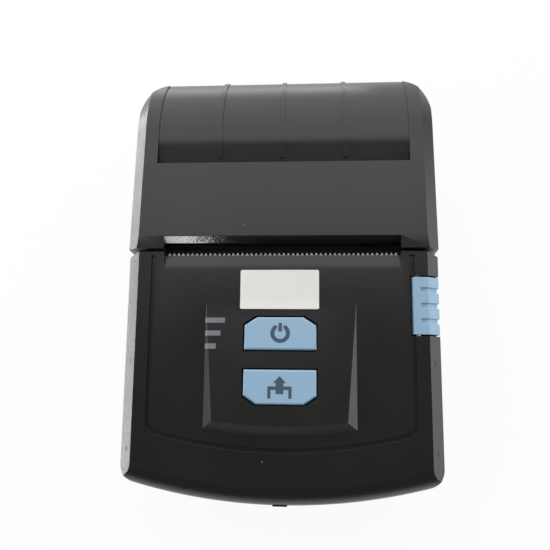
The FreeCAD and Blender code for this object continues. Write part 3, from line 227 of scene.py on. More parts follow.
def sums(tree, operation, first, second=0.0):
    made = node(tree, "Math", operation=operation)
    feed(tree, made.inputs[0], first)
    feed(tree, made.inputs[1], second)
    return made.outputs[0]


def spread(tree, value, low, high, to_low=0.0, to_high=1.0):
    made = node(tree, "MapRange")
    for socket, number in zip(made.inputs, (value, low, high, to_low, to_high)):
        feed(tree, socket, number)
    return made.outputs[0]


def noise(tree, vector, scale, detail=2.0):
    made = node(tree, "TexNoise")
    feed(tree, made.inputs["Vector"], vector)
    feed(tree, made.inputs["Scale"], scale)
    made.inputs["Detail"].default_value = detail
    return made.outputs[0]


def object_place(tree):
    return node(tree, "TexCoord").outputs["Object"]


# %% [markdown]
# A moulded case has a spark-eroded grain, a fine pebble of a few tenths of a millimetre that the tool
# leaves on every face, and its gloss drifts a little over centimetres where hands have polished it.
# One group gives both: a height for the pebble and a slow cloud for the drift. A scanned picture
# would do it too, but two noises on Object coordinates follow any shape without unwrapping.

# %% Moulded grain
def make_moulded_grain():
    group, given, result = new_group(
        "moulded_grain", [("Grain Scale", 3600.0), ("Cloud Scale", 55.0)], ["Height", "Cloud"])
    place = object_place(group)
    feed(group, result["Height"], noise(group, place, given["Grain Scale"], 1.5))
    feed(group, result["Cloud"], noise(group, place, given["Cloud Scale"], 4.0))
    return group


MOULDED_GRAIN = make_moulded_grain()
print("group:", MOULDED_GRAIN.name)

# %% [markdown]
# Dark plastic always carries a few specks of lint. Voronoi cells scatter one point per cell, so a
# speck is the small disc round a point, kept in only a share of the cells by the cell's random
# colour.

# %% Dust specks
def make_dust_specks():
    group, given, result = new_group(
        "dust_specks", [("Cells", 170.0), ("Share", 0.45), ("Radius", 0.013)], ["Mask"])
    cells = node(group, "TexVoronoi")
    feed(group, cells.inputs["Vector"], object_place(group))
    feed(group, cells.inputs["Scale"], given["Cells"])
    split = node(group, "SeparateColor")
    feed(group, split.inputs[0], cells.outputs["Color"])
    chosen = sums(group, "LESS_THAN", split.outputs[0], given["Share"])
    size = sums(group, "MULTIPLY", given["Radius"], sums(group, "ADD", split.outputs[1], 0.4))
    near = sums(group, "LESS_THAN", cells.outputs["Distance"], size)
    feed(group, result["Mask"], sums(group, "MULTIPLY", near, chosen))
    return group


DUST_SPECKS = make_dust_specks()
print("group:", DUST_SPECKS.name)

# %% [markdown]
# Edges of a handled case are rubbed smoother than its faces, and here they are also painted a shade paler,
# partly as wear and partly as a painted highlight along every edge. The Bevel node looks at the surface
# within a small radius and gives a rounded normal, so where that differs from the true normal there is an
# edge. Broken up with noise, the difference becomes one mask for both the wear and the painted edge
# highlight.

# %% Edge wear and painted edge highlight
WEAR_PATCHES = 900.0


def make_edge_wear_and_highlight():
    group, given, result = new_group("edge_wear_and_highlight", [("Radius", 0.0003), ("Reach", 6.0)], ["Mask"])
    rounded = node(group, "Bevel", samples=4)
    feed(group, rounded.inputs["Radius"], given["Radius"])
    compare = node(group, "VectorMath", operation="DOT_PRODUCT")
    feed(group, compare.inputs[0], rounded.outputs[0])
    feed(group, compare.inputs[1], node(group, "NewGeometry").outputs["Normal"])
    edge = sums(group, "SUBTRACT", 1.0, compare.outputs["Value"])
    patches = noise(group, object_place(group), WEAR_PATCHES, 3.0)
    # the mask carries both edge wear and a painted edge highlight
    broken = spread(group, patches, 0.3, 0.7, 0.35, 1.0)
    strong = sums(group, "MULTIPLY", sums(group, "MULTIPLY", edge, given["Reach"]), broken)
    feed(group, result["Mask"], sums(group, "MINIMUM", strong, 1.0))
    return group


EDGE_WEAR_AND_HIGHLIGHT = make_edge_wear_and_highlight()
print("group:", EDGE_WEAR_AND_HIGHLIGHT.name)

# %% [markdown]
# Rolled and ground metal has long fine lines. Stretching noise along one direction draws them: the
# coordinates are squeezed across the lines and left long along X, the direction in which the
# printer's strips are rolled.

# %% Brushed lines
def make_brushed_lines():
    group, given, result = new_group("brushed_lines", [("Fineness", 2500.0), ("Length", 60.0)], ["Line"])
    split = node(group, "SeparateXYZ")
    feed(group, split.inputs[0], object_place(group))
    joined = node(group, "CombineXYZ")
    feed(group, joined.inputs[0], sums(group, "MULTIPLY", split.outputs[0], given["Length"]))
    for axis in (1, 2):
        squeezed = sums(group, "MULTIPLY", split.outputs[axis], given["Fineness"])
        feed(group, joined.inputs[axis], squeezed)
    feed(group, result["Line"], noise(group, joined.outputs[0], 1.0, 3.0))
    return group


BRUSHED_LINES = make_brushed_lines()
print("group:", BRUSHED_LINES.name)

# %% [markdown]
# Every finish starts from the same few steps: a new material, its Principled shader, colours that
# vary under a mask, and a bump from a height. Writing them once keeps each finish below to the lines
# that make it what it is.

# %% Material helpers
def new_finish(name):
    material = bpy.data.materials.new(name + "_finish")
    material.use_nodes = True
    return material, material.node_tree, material.node_tree.nodes["Principled BSDF"]


def placed(tree, group, **values):
    made = node(tree, "Group", node_tree=group)
    for label, value in values.items():
        feed(tree, made.inputs[label.replace("_", " ")], value)
    return made.outputs


def blend(tree, mask, low, high):
    mix = node(tree, "Mix", data_type="RGBA")
    feed(tree, mix.inputs["Factor"], mask)
    for socket, colour in ((mix.inputs[6], low), (mix.inputs[7], high)):
        feed(tree, socket, colour if isinstance(colour, bpy.types.NodeSocket) else (*colour, 1))
    return mix.outputs[2]


def bumped(tree, shader, height, strength, depth):
    bump = node(tree, "Bump")
    feed(tree, bump.inputs["Height"], height)
    bump.inputs["Strength"].default_value = strength
    bump.inputs["Distance"].default_value = depth
    feed(tree, shader.inputs["Normal"], bump.outputs[0])


CLOUD_LOW, CLOUD_HIGH = 0.25, 0.75
LINT = (0.62, 0.61, 0.58)

# %% [markdown]
# The case, cover, door and inner mouldings are black styrene blend with a satin grain. The grain is a
# bump, the polish drifts with the cloud, edges are rubbed smoother and painted a shade paler, partly wear
# and partly a painted highlight, and a few specks of lint lie on top.

# %% Black plastic
BLACK = (0.0072, 0.0070, 0.0067)
BLACK_PALE = (0.0096, 0.0093, 0.0088)
BLACK_WORN_SHEEN = (0.022, 0.0215, 0.0205)
SATIN_SMOOTH = 0.28
SATIN_ROUGH = 0.34
RUB_POLISH = 0.06


def black_plastic(name):
    material, tree, shader = new_finish(name)
    grain = placed(tree, MOULDED_GRAIN)
    wear_and_highlight = placed(tree, EDGE_WEAR_AND_HIGHLIGHT)
    dust = placed(tree, DUST_SPECKS)
    body = blend(tree, grain["Cloud"], BLACK, BLACK_PALE)
    # paler edges: partly wear, partly a painted highlight
    worn_sheen = blend(tree, wear_and_highlight["Mask"], body, BLACK_WORN_SHEEN)
    colour = blend(tree, dust["Mask"], worn_sheen, LINT)
    feed(tree, shader.inputs["Base Color"], colour)
    gloss = spread(tree, grain["Cloud"], CLOUD_LOW, CLOUD_HIGH, SATIN_SMOOTH, SATIN_ROUGH)
    polish = sums(tree, "MULTIPLY", wear_and_highlight["Mask"], RUB_POLISH)
    feed(tree, shader.inputs["Roughness"], sums(tree, "SUBTRACT", gloss, polish))
    bumped(tree, shader, grain["Height"], 0.25, 0.02 * MM)
    return material, tree, shader


BLACK_PLASTIC = black_plastic("black_plastic")[0]
print("finish:", BLACK_PLASTIC.name)

# %% [markdown]
# A pale, grainy patch lies on the left end of the cover's front bevel, dense at the corner and thinning
# towards the middle, so the cover's plastic gets one more layer: a mask that fades along X and is broken
# into specks, limited to the bevel in front of the cover's top. Under the mask the normal is turned
# straight up, so the patch is shaded as a level face.

# %% Cover plastic with a pale patch
SLOT_LEFT = -30.4 * MM
PATCH_FULL = -26.0 * MM
PATCH_END = -14.5 * MM
BEVEL_REAR = 8.0 * MM
BEVEL_LOW = 41.9 * MM
PALE_PATCH = (0.85, 0.84, 0.81)
PATCH_DENSE = 0.64
PATCH_SPARSE = 0.36
PATCH_SPECKLE = 3400.0


def cover_plastic():
    material, tree, shader = black_plastic("cover_plastic")
    bare = shader.inputs["Base Color"].links[0].from_socket
    place = object_place(tree)
    axes = node(tree, "SeparateXYZ")
    feed(tree, axes.inputs[0], place)
    fading = spread(tree, axes.outputs[0], PATCH_FULL, PATCH_END, PATCH_DENSE, PATCH_SPARSE)
    right_of_wall = sums(tree, "GREATER_THAN", axes.outputs[0], SLOT_LEFT)
    before_top = sums(tree, "LESS_THAN", axes.outputs[1], BEVEL_REAR)
    speckle_noise = noise(tree, place, PATCH_SPECKLE, 2.0)
    speckled = sums(tree, "LESS_THAN", speckle_noise, fading)
    inside = sums(tree, "MULTIPLY", right_of_wall, before_top)
    before_end = sums(tree, "LESS_THAN", axes.outputs[0], PATCH_END)
    above_front = sums(tree, "GREATER_THAN", axes.outputs[2], BEVEL_LOW)
    on_bevel = sums(tree, "MULTIPLY", before_end, above_front)
    mask = sums(tree, "MULTIPLY", sums(tree, "MULTIPLY", inside, on_bevel), speckled)
    # a pale patch on the bevel's left end, set in the base colour
    feed(tree, shader.inputs["Base Color"], blend(tree, mask, bare, PALE_PATCH))
    level = node(tree, "Mix", data_type="VECTOR")
    feed(tree, level.inputs["Factor"], mask)
    feed(tree, level.inputs[4], shader.inputs["Normal"].links[0].from_socket)
    level.inputs[5].default_value = (0, 0, 1)
    feed(tree, shader.inputs["Normal"], level.outputs[1])
    return material


COVER_PLASTIC = cover_plastic()
print("finish:", COVER_PLASTIC.name)

# %% [markdown]
# The two buttons and the release lever are through-coloured pale blue. Their mould is smoother than the
# case's, so the grain is finer, and the edges are rubbed and painted almost white, partly wear and partly
# a painted highlight.

# %% Blue plastic
BLUE = (0.278, 0.445, 0.602)
BLUE_PALE = (0.304, 0.472, 0.630)
BLUE_WORN_SHEEN = (0.52, 0.64, 0.78)


def blue_plastic():
    material, tree, shader = new_finish("blue_plastic")
    grain = placed(tree, MOULDED_GRAIN, Grain_Scale=5200.0, Cloud_Scale=140.0)
    wear_and_highlight = placed(tree, EDGE_WEAR_AND_HIGHLIGHT, Radius=0.00035, Reach=3.0)
    body = blend(tree, grain["Cloud"], BLUE, BLUE_PALE)
    # edges painted almost white: partly wear, partly a painted highlight
    feed(tree, shader.inputs["Base Color"], blend(tree, wear_and_highlight["Mask"], body, BLUE_WORN_SHEEN))
    feed(tree, shader.inputs["Roughness"], spread(tree, grain["Cloud"], CLOUD_LOW, CLOUD_HIGH, 0.38, 0.46))
    bumped(tree, shader, grain["Height"], 0.12, 0.015 * MM)
    return material


BLUE_PLASTIC = blue_plastic()
print("finish:", BLUE_PLASTIC.name)

# %% [markdown]
# The indicator bars are smoky acrylic, milky enough to look grey while their lamps are off. A coat
# gives the clear skin and a slow cloud the milkiness inside.

# %% Lens acrylic
LENS_SMOKE = (0.160, 0.161, 0.186)
LENS_MILK = (0.205, 0.206, 0.239)
LENS_COAT = 0.4
LENS_COAT_ROUGH = 0.15


def lens_acrylic():
    material, tree, shader = new_finish("lens_grey")
    cloud = placed(tree, MOULDED_GRAIN, Cloud_Scale=420.0)["Cloud"]
    feed(tree, shader.inputs["Base Color"], blend(tree, cloud, LENS_SMOKE, LENS_MILK))
    feed(tree, shader.inputs["Roughness"], spread(tree, cloud, 0.2, 0.8, 0.3, 0.4))
    shader.inputs["Coat Weight"].default_value = LENS_COAT
    shader.inputs["Coat Roughness"].default_value = LENS_COAT_ROUGH
    return material


LENS_ACRYLIC = lens_acrylic()
print("finish:", LENS_ACRYLIC.name)

# %% [markdown]
# The sticker is coated paper with a faint warm mottle and fibre texture. It stays bare.

# %% Label paper
PAPER_WARM = (0.79, 0.775, 0.725)
PAPER_PALE = (0.85, 0.835, 0.79)


def label_paper():
    material, tree, shader = new_finish("label_white")
    grain = placed(tree, MOULDED_GRAIN, Grain_Scale=2600.0, Cloud_Scale=160.0)
    paper = blend(tree, grain["Cloud"], PAPER_WARM, PAPER_PALE)
    feed(tree, shader.inputs["Base Color"], paper)
    feed(tree, shader.inputs["Roughness"], spread(tree, grain["Cloud"], 0.2, 0.8, 0.52, 0.66))
    bumped(tree, shader, grain["Height"], 0.08, 0.01 * MM)
    return material


LABEL_PAPER = label_paper()
print("finish:", LABEL_PAPER.name)

# %% [markdown]
# Steel strip, turned pins, aluminium, brass contacts and the motor can are all bare metal with
# brushed lines, and differ in colour and in how coarse the lines are. One function makes them all.

# %% Metals
def brushed_metal(name, dark, light, smooth, rough, fineness):
    material, tree, shader = new_finish(name)
    line = placed(tree, BRUSHED_LINES, Fineness=fineness)["Line"]
    cloud = placed(tree, MOULDED_GRAIN, Cloud_Scale=90.0)["Cloud"]
    feed(tree, shader.inputs["Base Color"], blend(tree, line, dark, light))
    shader.inputs["Metallic"].default_value = 1.0
    mixed = sums(tree, "MULTIPLY", sums(tree, "ADD", line, cloud), 0.5)
    feed(tree, shader.inputs["Roughness"], spread(tree, mixed, 0.3, 0.7, smooth, rough))
    bumped(tree, shader, line, 0.1, 0.01 * MM)
    return material


# Each row holds the darker and the paler colour, the smoothest and the roughest gloss and the fineness
METAL_SHADES = {
    "steel": ((0.52, 0.52, 0.52), (0.68, 0.68, 0.67), 0.18, 0.34, 2500.0),
    "aluminium": ((0.64, 0.65, 0.66), (0.78, 0.78, 0.79), 0.3, 0.45, 1200.0),
    "motor_steel": ((0.42, 0.42, 0.43), (0.56, 0.56, 0.56), 0.25, 0.42, 900.0),
    "socket_steel": ((0.5, 0.5, 0.49), (0.64, 0.63, 0.61), 0.2, 0.36, 2500.0),
    "contact_brass": ((0.62, 0.42, 0.15), (0.78, 0.57, 0.25), 0.2, 0.36, 2500.0),
}
METALS = {name: brushed_metal(name, *values) for name, values in METAL_SHADES.items()}
print("metals:", ", ".join(METALS))

# %% [markdown]
# The tear strip is stamped from dark, hardened steel, and the edges of its teeth are painted bright as a
# glint. The edge group already finds edges, so the blade is a dark metal that turns to a pale painted
# highlight under that mask.

# %% Tear steel
HARDENED_DARK = (0.13, 0.13, 0.13)
HARDENED_PALE = (0.21, 0.21, 0.20)
SHEARED_GLINT = (0.78, 0.78, 0.76)


def tear_steel():
    material, tree, shader = new_finish("tear_steel")
    line = placed(tree, BRUSHED_LINES)["Line"]
    edge_glint = placed(tree, EDGE_WEAR_AND_HIGHLIGHT, Radius=0.0002, Reach=16.0)["Mask"]
    hardened = blend(tree, line, HARDENED_DARK, HARDENED_PALE)
    # bright tooth edges: a painted glint
    feed(tree, shader.inputs["Base Color"], blend(tree, edge_glint, hardened, SHEARED_GLINT))
    shader.inputs["Metallic"].default_value = 1.0
    feed(tree, shader.inputs["Roughness"], spread(tree, line, 0.3, 0.7, 0.3, 0.42))
    return material


TEAR_STEEL = tear_steel()
print("finish:", TEAR_STEEL.name)

# %% [markdown]
# The plastics and rubbers inside the case need less: a colour that drifts between two shades, a gloss
# that drifts with it, and a grain at the right size. Glass-filled frame plastic is coarse and dull,
# acetal gears are waxy, and ground rubber is nearly matt.

# %% Inner plastics and rubber
def drifting(name, dark, light, smooth, rough, grain_scale, depth):
    material, tree, shader = new_finish(name)
    grain = placed(tree, MOULDED_GRAIN, Grain_Scale=grain_scale, Cloud_Scale=120.0)
    feed(tree, shader.inputs["Base Color"], blend(tree, grain["Cloud"], dark, light))
    gloss = spread(tree, grain["Cloud"], CLOUD_LOW, CLOUD_HIGH, smooth, rough)
    feed(tree, shader.inputs["Roughness"], gloss)
    bumped(tree, shader, grain["Height"], 0.3, depth * MM)
    return material


FRAME_SHEEN = 0.22

# Each row holds the darker and the paler colour, the smoothest and the roughest gloss,
# and the grain's scale and its depth in millimetres
SHADES = {
    "frame_plastic": ((0.010, 0.010, 0.0105), (0.018, 0.018, 0.0185), 0.58, 0.72, 2200.0, 0.03),
    "platen_rubber": ((0.022, 0.022, 0.022), (0.036, 0.035, 0.035), 0.62, 0.8, 3000.0, 0.03),
    "foot_rubber": ((0.016, 0.016, 0.017), (0.03, 0.029, 0.028), 0.7, 0.88, 1800.0, 0.04),
    "gear_plastic": ((0.68, 0.665, 0.62), (0.78, 0.77, 0.73), 0.36, 0.5, 4000.0, 0.01),
    "component_black": ((0.018, 0.018, 0.019), (0.03, 0.03, 0.031), 0.42, 0.58, 3800.0, 0.02),
    "battery_grey": ((0.085, 0.088, 0.095), (0.115, 0.117, 0.125), 0.3, 0.46, 700.0, 0.05),
}
INNER = {name: drifting(name, *values) for name, values in SHADES.items()}
frame_shader = INNER["frame_plastic"].node_tree.nodes["Principled BSDF"]
frame_shader.inputs["Specular IOR Level"].default_value = FRAME_SHEEN
print("inner finishes:", ", ".join(INNER))

# %% [markdown]
# Three flat parts are patterned across X: the print head's alumina carries rows of electrodes and one
# glazed heater line, the flat cable shows its copper under amber film, and the board has traces under
# green lacquer. A wave texture along X draws the rows, and a band of Object height marks the heater
# line.

# %% Patterned circuit parts
def striped(name, ground, stripe, wave_scale, share, rough):
    material, tree, shader = new_finish(name)
    rows = node(tree, "TexWave", bands_direction="X")
    feed(tree, rows.inputs["Vector"], object_place(tree))
    rows.inputs["Scale"].default_value = wave_scale
    mask = spread(tree, rows.outputs["Fac"], share, share + 0.1)
    cloud = placed(tree, MOULDED_GRAIN, Cloud_Scale=200.0)["Cloud"]
    colour = blend(tree, mask, ground, stripe)
    feed(tree, shader.inputs["Base Color"], colour)
    feed(tree, shader.inputs["Roughness"], spread(tree, cloud, 0.2, 0.8, rough, rough + 0.12))
    bumped(tree, shader, mask, 0.15, 0.02 * MM)
    return material, tree, shader, colour


HEATER_MIDDLE = 36.0 * MM
HEATER_HALF = 0.6 * MM
ALUMINA = (0.74, 0.71, 0.66)
ELECTRODE = (0.55, 0.47, 0.33)
GLAZE = (0.06, 0.045, 0.035)
AMBER_FILM, AMBER_COPPER = (0.40, 0.17, 0.03), (0.52, 0.27, 0.08)
GREEN_LACQUER, GREEN_TRACE = (0.018, 0.12, 0.045), (0.04, 0.2, 0.08)


def head_ceramic():
    material, tree, shader, colour = striped(
        "head_ceramic", ALUMINA, ELECTRODE, wave_scale=250.0, share=0.6, rough=0.25)
    axes = node(tree, "SeparateXYZ")
    feed(tree, axes.inputs[0], object_place(tree))
    offset = sums(tree, "ABSOLUTE", sums(tree, "SUBTRACT", axes.outputs[2], HEATER_MIDDLE))
    heater = sums(tree, "LESS_THAN", offset, HEATER_HALF)
    feed(tree, shader.inputs["Base Color"], blend(tree, heater, colour, GLAZE))
    return material


CIRCUITS = {
    "head_ceramic": head_ceramic(),
    "flex_amber": striped(
        "flex_amber", AMBER_FILM, AMBER_COPPER, wave_scale=100.0, share=0.5, rough=0.25)[0],
    "board_green": striped(
        "board_green", GREEN_LACQUER, GREEN_TRACE, wave_scale=50.0, share=0.6, rough=0.3)[0],
}
print("circuit finishes:", ", ".join(CIRCUITS))

# %% [markdown]
# A lamp chip is a tiny white case round a drop of yellow phosphor, which noise alone can suggest at
# this size.

# %% Lamp chips
CHIP_WHITE = (0.8, 0.8, 0.78)
PHOSPHOR = (0.8, 0.66, 0.2)


def lamp_chip():
    material, tree, shader = new_finish("led_white")
    drop = noise(tree, object_place(tree), 700.0, 1.0)
    phosphor = spread(tree, drop, 0.45, 0.55)
    feed(tree, shader.inputs["Base Color"], blend(tree, phosphor, CHIP_WHITE, PHOSPHOR))
    feed(tree, shader.inputs["Roughness"], spread(tree, drop, 0.3, 0.7, 0.25, 0.5))
    return material


LAMP_CHIP = lamp_chip()
print("finish:", LAMP_CHIP.name)

# %% [markdown]
# The record names a finish for every piece, so one loop hands them out. The cover's shell and the
# tear strip have their own.

# %% Finishes for the frame's pieces
FINISHES = {
    "black_plastic": BLACK_PLASTIC, "blue_plastic": BLUE_PLASTIC, "lens_grey": LENS_ACRYLIC,
    "label_white": LABEL_PAPER, "led_white": LAMP_CHIP, **METALS, **INNER, **CIRCUITS,
}
SLOT_OF = {entry["node"]: entry["material_slot"] for entry in frame["record"]["subparts"]}


def wear_finish(piece, finish):
    piece.data.materials.clear()
    piece.data.materials.append(finish)


for name, slot_name in SLOT_OF.items():
    wear_finish(NODES[name], FINISHES[slot_name])
wear_finish(NODES["tear_bar"], TEAR_STEEL)
print("finished pieces:", len(SLOT_OF))

# %% [markdown]
# An engineering solid has knife edges, but a moulded part never has: the tool's corners are rounded
# by a fraction of a millimetre, and those roundings catch the light. The visible shells are therefore
# copied from the frame, merged into clean faces, bevelled along every sharp edge and given weighted
# normals, and each copy stands in for its node.

# %% Soft-edged shells
WELD = 0.002 * MM
FLAT = math.radians(0.3)


def deselect_all():
    if bpy.context.mode != "OBJECT":
        bpy.ops.object.mode_set(mode="OBJECT")
    bpy.ops.object.select_all(action="DESELECT")


def linked_copy(name, mesh):
    piece = bpy.data.objects.new(name, mesh.copy())
    bpy.context.scene.collection.objects.link(piece)
    return piece


def copy_of(node_name, piece_name):
    deselect_all()
    piece = linked_copy(piece_name, NODES[node_name].data)
    piece.select_set(True)
    bpy.context.view_layer.objects.active = piece
    bpy.ops.object.mode_set(mode="EDIT")
    bpy.ops.mesh.select_all(action="SELECT")
    bpy.ops.mesh.remove_doubles(threshold=WELD)
    bpy.ops.mesh.dissolve_limited(angle_limit=FLAT)
    bpy.ops.object.mode_set(mode="OBJECT")
    return piece


def apply_modifier(piece, kind, **settings):
    modifier = piece.modifiers.new(kind.lower(), kind)
    for key, value in settings.items():
        setattr(modifier, key, value)
    bpy.context.view_layer.objects.active = piece
    bpy.ops.object.modifier_apply(modifier=modifier.name)


def soften(piece, width, segments=2, angle=28):
    apply_modifier(piece, "BEVEL", width=width * MM, segments=segments, limit_method="ANGLE",
                   angle_limit=math.radians(angle), use_clamp_overlap=True, miter_outer="MITER_ARC")
    smooth(piece)


def smooth(piece, angle=40):
    deselect_all()
    piece.select_set(True)
    bpy.context.view_layer.objects.active = piece
    bpy.ops.object.shade_smooth_by_angle(angle=math.radians(angle))
    apply_modifier(piece, "WEIGHTED_NORMAL", keep_sharp=True)


BODY_OF = {
    name: body for body, names in frame["record"]["behaviour"]["bodies"].items() for name in names
}


def dress(piece, node_name, finish=None):
    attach(piece, BODY_OF[node_name])
    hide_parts(node_name)
    wear_finish(piece, finish or FINISHES[SLOT_OF[node_name]])
    print(piece.name, "stands for", node_name, "with", len(piece.data.polygons), "faces")


SOFT_EDGES = {
    "upper_case": ("front_shell", 0.22),
    "lower_case": ("base_shell", 0.25),
    "paper_cover": ("cover_shell", 0.25),
    "battery_door": ("door_plate", 0.2),
    "release_lever": ("lever_cap", 0.42),
    "rubber_feet": ("feet", 0.2),
    "platen_carrier": ("carrier", 0.15),
    "paper_well": ("well", 0.2),
    "mechanism_frame": ("mechanism", 0.15),
    "platen_roller": ("roller", 0.25),
    "charge_socket": ("socket_shell", 0.12),
}
for node_name, (piece_name, width) in SOFT_EDGES.items():
    shell = copy_of(node_name, piece_name)
    soften(shell, width)
    dress(shell, node_name, COVER_PLASTIC if node_name == "paper_cover" else None)

# %% [markdown]
# The sticker is die-cut, so its four corners are round. Its copy keeps the frame's folded sheet, and
# only the short upright edges at the corners are selected, by their direction, and bevelled.

# %% Label with round corners
LABEL_CORNER = 0.4
EDGE_SLACK = 0.05
STEEP = 0.7


def choose_edges(piece, test):
    bpy.context.tool_settings.mesh_select_mode = (False, True, False)
    deselect_all()
    bpy.context.view_layer.objects.active = piece
    piece.select_set(True)
    mesh = piece.data
    for group in (mesh.vertices, mesh.edges, mesh.polygons):
        group.foreach_set("select", [False] * len(group))
    for edge in mesh.edges:
        edge.select = test(*(mesh.vertices[index].co / MM for index in edge.vertices))
    bpy.ops.object.mode_set(mode="EDIT")


label_low, label_high = (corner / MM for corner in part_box("blank_label"))


def is_label_corner(start, end):
    middle = (start + end) / 2
    at_side = min(middle.x - label_low.x, label_high.x - middle.x) < EDGE_SLACK
    return at_side and abs(start.z - end.z) > STEEP * (start - end).length


label = copy_of("blank_label", "label_sheet")
choose_edges(label, is_label_corner)
bpy.ops.mesh.bevel(offset=LABEL_CORNER * MM, segments=5, affect="EDGES")
bpy.ops.object.mode_set(mode="OBJECT")
smooth(label)
dress(label, "blank_label")

# %% [markdown]
# The buttons carry two general symbols, power and paper feed, pad-printed in slate blue. A flat mark
# can be drawn the way one draws with a pen: a single vertex is extruded from corner to corner, the
# loop is filled, and the fill is raised by the thickness of the ink.

# %% Drawing an outline
INK_THICK = 0.03


def outline_piece(name, corners, base, thick):
    deselect_all()
    bpy.context.tool_settings.mesh_select_mode = (True, False, False)
    first = Vector((*corners[0], base)) * MM
    bpy.ops.mesh.primitive_plane_add(size=MM, location=first)
    piece = bpy.context.object
    piece.name = name
    bpy.ops.object.mode_set(mode="EDIT")
    bpy.ops.mesh.merge(type="CENTER")
    for before, after in zip(corners, corners[1:]):
        step = ((after[0] - before[0]) * MM, (after[1] - before[1]) * MM, 0)
        bpy.ops.mesh.extrude_vertices_move(TRANSFORM_OT_translate={"value": step})
    bpy.ops.mesh.select_all(action="SELECT")
    bpy.ops.mesh.edge_face_add()
    bpy.ops.mesh.extrude_region_move(TRANSFORM_OT_translate={"value": (0, 0, thick * MM)})
    bpy.ops.mesh.select_all(action="SELECT")
    bpy.ops.mesh.normals_make_consistent(inside=False)
    bpy.ops.object.mode_set(mode="OBJECT")
    bpy.ops.object.transform_apply(location=True, rotation=True, scale=True)
    return piece


def join(pieces):
    deselect_all()
    for piece in pieces:
        piece.select_set(True)
    bpy.context.view_layer.objects.active = pieces[0]
    bpy.ops.object.join()
    return pieces[0]


# %% [markdown]
# The ink is matt, a little mottled where it was pressed on, and darker than the plastic under it.

# %% Printing ink
INK_DARK = (0.038, 0.072, 0.118)
INK_PALE = (0.050, 0.090, 0.142)


def printing_ink():
    material, tree, shader = new_finish("slate_ink")
    grain = placed(tree, MOULDED_GRAIN, Cloud_Scale=900.0)
    ink = blend(tree, grain["Cloud"], INK_DARK, INK_PALE)
    feed(tree, shader.inputs["Base Color"], ink)
    feed(tree, shader.inputs["Roughness"], spread(tree, grain["Cloud"], CLOUD_LOW, CLOUD_HIGH, 0.5, 0.62))
    return material


SLATE_INK = printing_ink()


def fix_to(piece, node_name, finish):
    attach(piece, BODY_OF[node_name])
    wear_finish(piece, finish)
    print(piece.name, "is fixed to", node_name)


# %% [markdown]
# The power mark is an open ring with round ends and a bar in its gap. Points on the two rims and
# round the ends come from one function of the angle, measured from the rear.

# %% Power mark
POWER_CENTRE = (0.0, -16.78)
RING_OUTER = 2.45
RING_INNER = 1.45
RING_GAP = math.radians(40)
BAR_HALF = 0.43
BAR_NEAR = 0.43
BAR_FAR = 2.56
RIM_STEPS = 24
END_STEPS = 6


def power_ring():
    middle, half = (RING_OUTER + RING_INNER) / 2, (RING_OUTER - RING_INNER) / 2
    first, last = RING_GAP, 2 * math.pi - RING_GAP
    turn = [first + (last - first) * step / RIM_STEPS for step in range(RIM_STEPS + 1)]

    def at(radius, angle):
        return POWER_CENTRE[0] + radius * math.sin(angle), POWER_CENTRE[1] + radius * math.cos(angle)

    def end(angle, way):
        x, y = at(middle, angle)
        sine, cosine = math.sin(angle), math.cos(angle)
        sweep = [math.pi * step / END_STEPS for step in range(1, END_STEPS)]
        return [(x + half * (sine * math.cos(bow) + way * cosine * math.sin(bow)),
                 y + half * (cosine * math.cos(bow) - way * sine * math.sin(bow)))
                for bow in sweep]

    outer = [at(RING_OUTER, angle) for angle in turn]
    inner = [at(RING_INNER, angle) for angle in reversed(turn)]
    return outer + end(last, 1) + inner + list(reversed(end(first, -1)))


def power_bar():
    x, y = POWER_CENTRE
    near, far = y + BAR_NEAR, y + BAR_FAR
    return [(x - BAR_HALF, near), (x + BAR_HALF, near), (x + BAR_HALF, far), (x - BAR_HALF, far)]


power_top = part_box("power_button")[1].z / MM
power_mark = join([outline_piece("power_mark", power_ring(), power_top, INK_THICK),
                   outline_piece("power_bar", power_bar(), power_top, INK_THICK)])
fix_to(power_mark, "power_button", SLATE_INK)

# %% [markdown]
# The feed mark is an arrow that leaves a tray. Its right half is listed from the tip round to the
# foot, and the left half is the same list mirrored.

# %% Feed mark
FEED_TIP = (0.0, -27.35)
HEAD_HALF, HEAD_LONG = 1.64, 1.7
STEM_HALF, STEM_LONG = 0.94, 4.35
TRAY_TOP, TRAY_THICK = 2.5, 0.85
TRAY_HALF, LEG_WIDE, LEG_END = 2.96, 0.78, 5.42


def feed_outline():
    leg_inner = TRAY_HALF - LEG_WIDE
    tray_low = TRAY_TOP + TRAY_THICK
    head = [(0, 0), (HEAD_HALF, HEAD_LONG), (STEM_HALF, HEAD_LONG), (STEM_HALF, TRAY_TOP)]
    tray = [(TRAY_HALF, TRAY_TOP), (TRAY_HALF, LEG_END), (leg_inner, LEG_END), (leg_inner, tray_low)]
    right = head + tray + [(STEM_HALF, tray_low), (STEM_HALF, STEM_LONG)]
    left = [(-x, y) for x, y in reversed(right[1:])]
    return [(FEED_TIP[0] + x, FEED_TIP[1] - y) for x, y in right + left]


feed_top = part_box("feed_button")[1].z / MM
feed_mark = outline_piece("feed_mark", feed_outline(), feed_top, INK_THICK)
fix_to(feed_mark, "feed_button", SLATE_INK)

# %% [markdown]
# A turned-up printer shows four cross-head screws in its sole, and an open one shows the small screws
# of the mechanism, the board and the paper well. Each head gets a cap: a disc whose rim is bevelled,
# with the cross sunk by a Boolean modifier that subtracts a plus-shaped outline. One cap is modelled
# for each set of screws and then copied to the corners of its node's box, where the frame has its
# screws.

# %% Cross-head caps
CAP_THICK = 0.45
CROSS_DEEP = 0.3
CROSS_ARM = 0.55
CROSS_HALF = 0.14
CAP_SIDES = 40
CAP_ROUND = 0.6 * CAP_THICK
HEAD_TO_CAP = 1.05
SCREW_SWING = 0.9
SOLE_CAP = 2.0
SMALL_CAP = 1.71


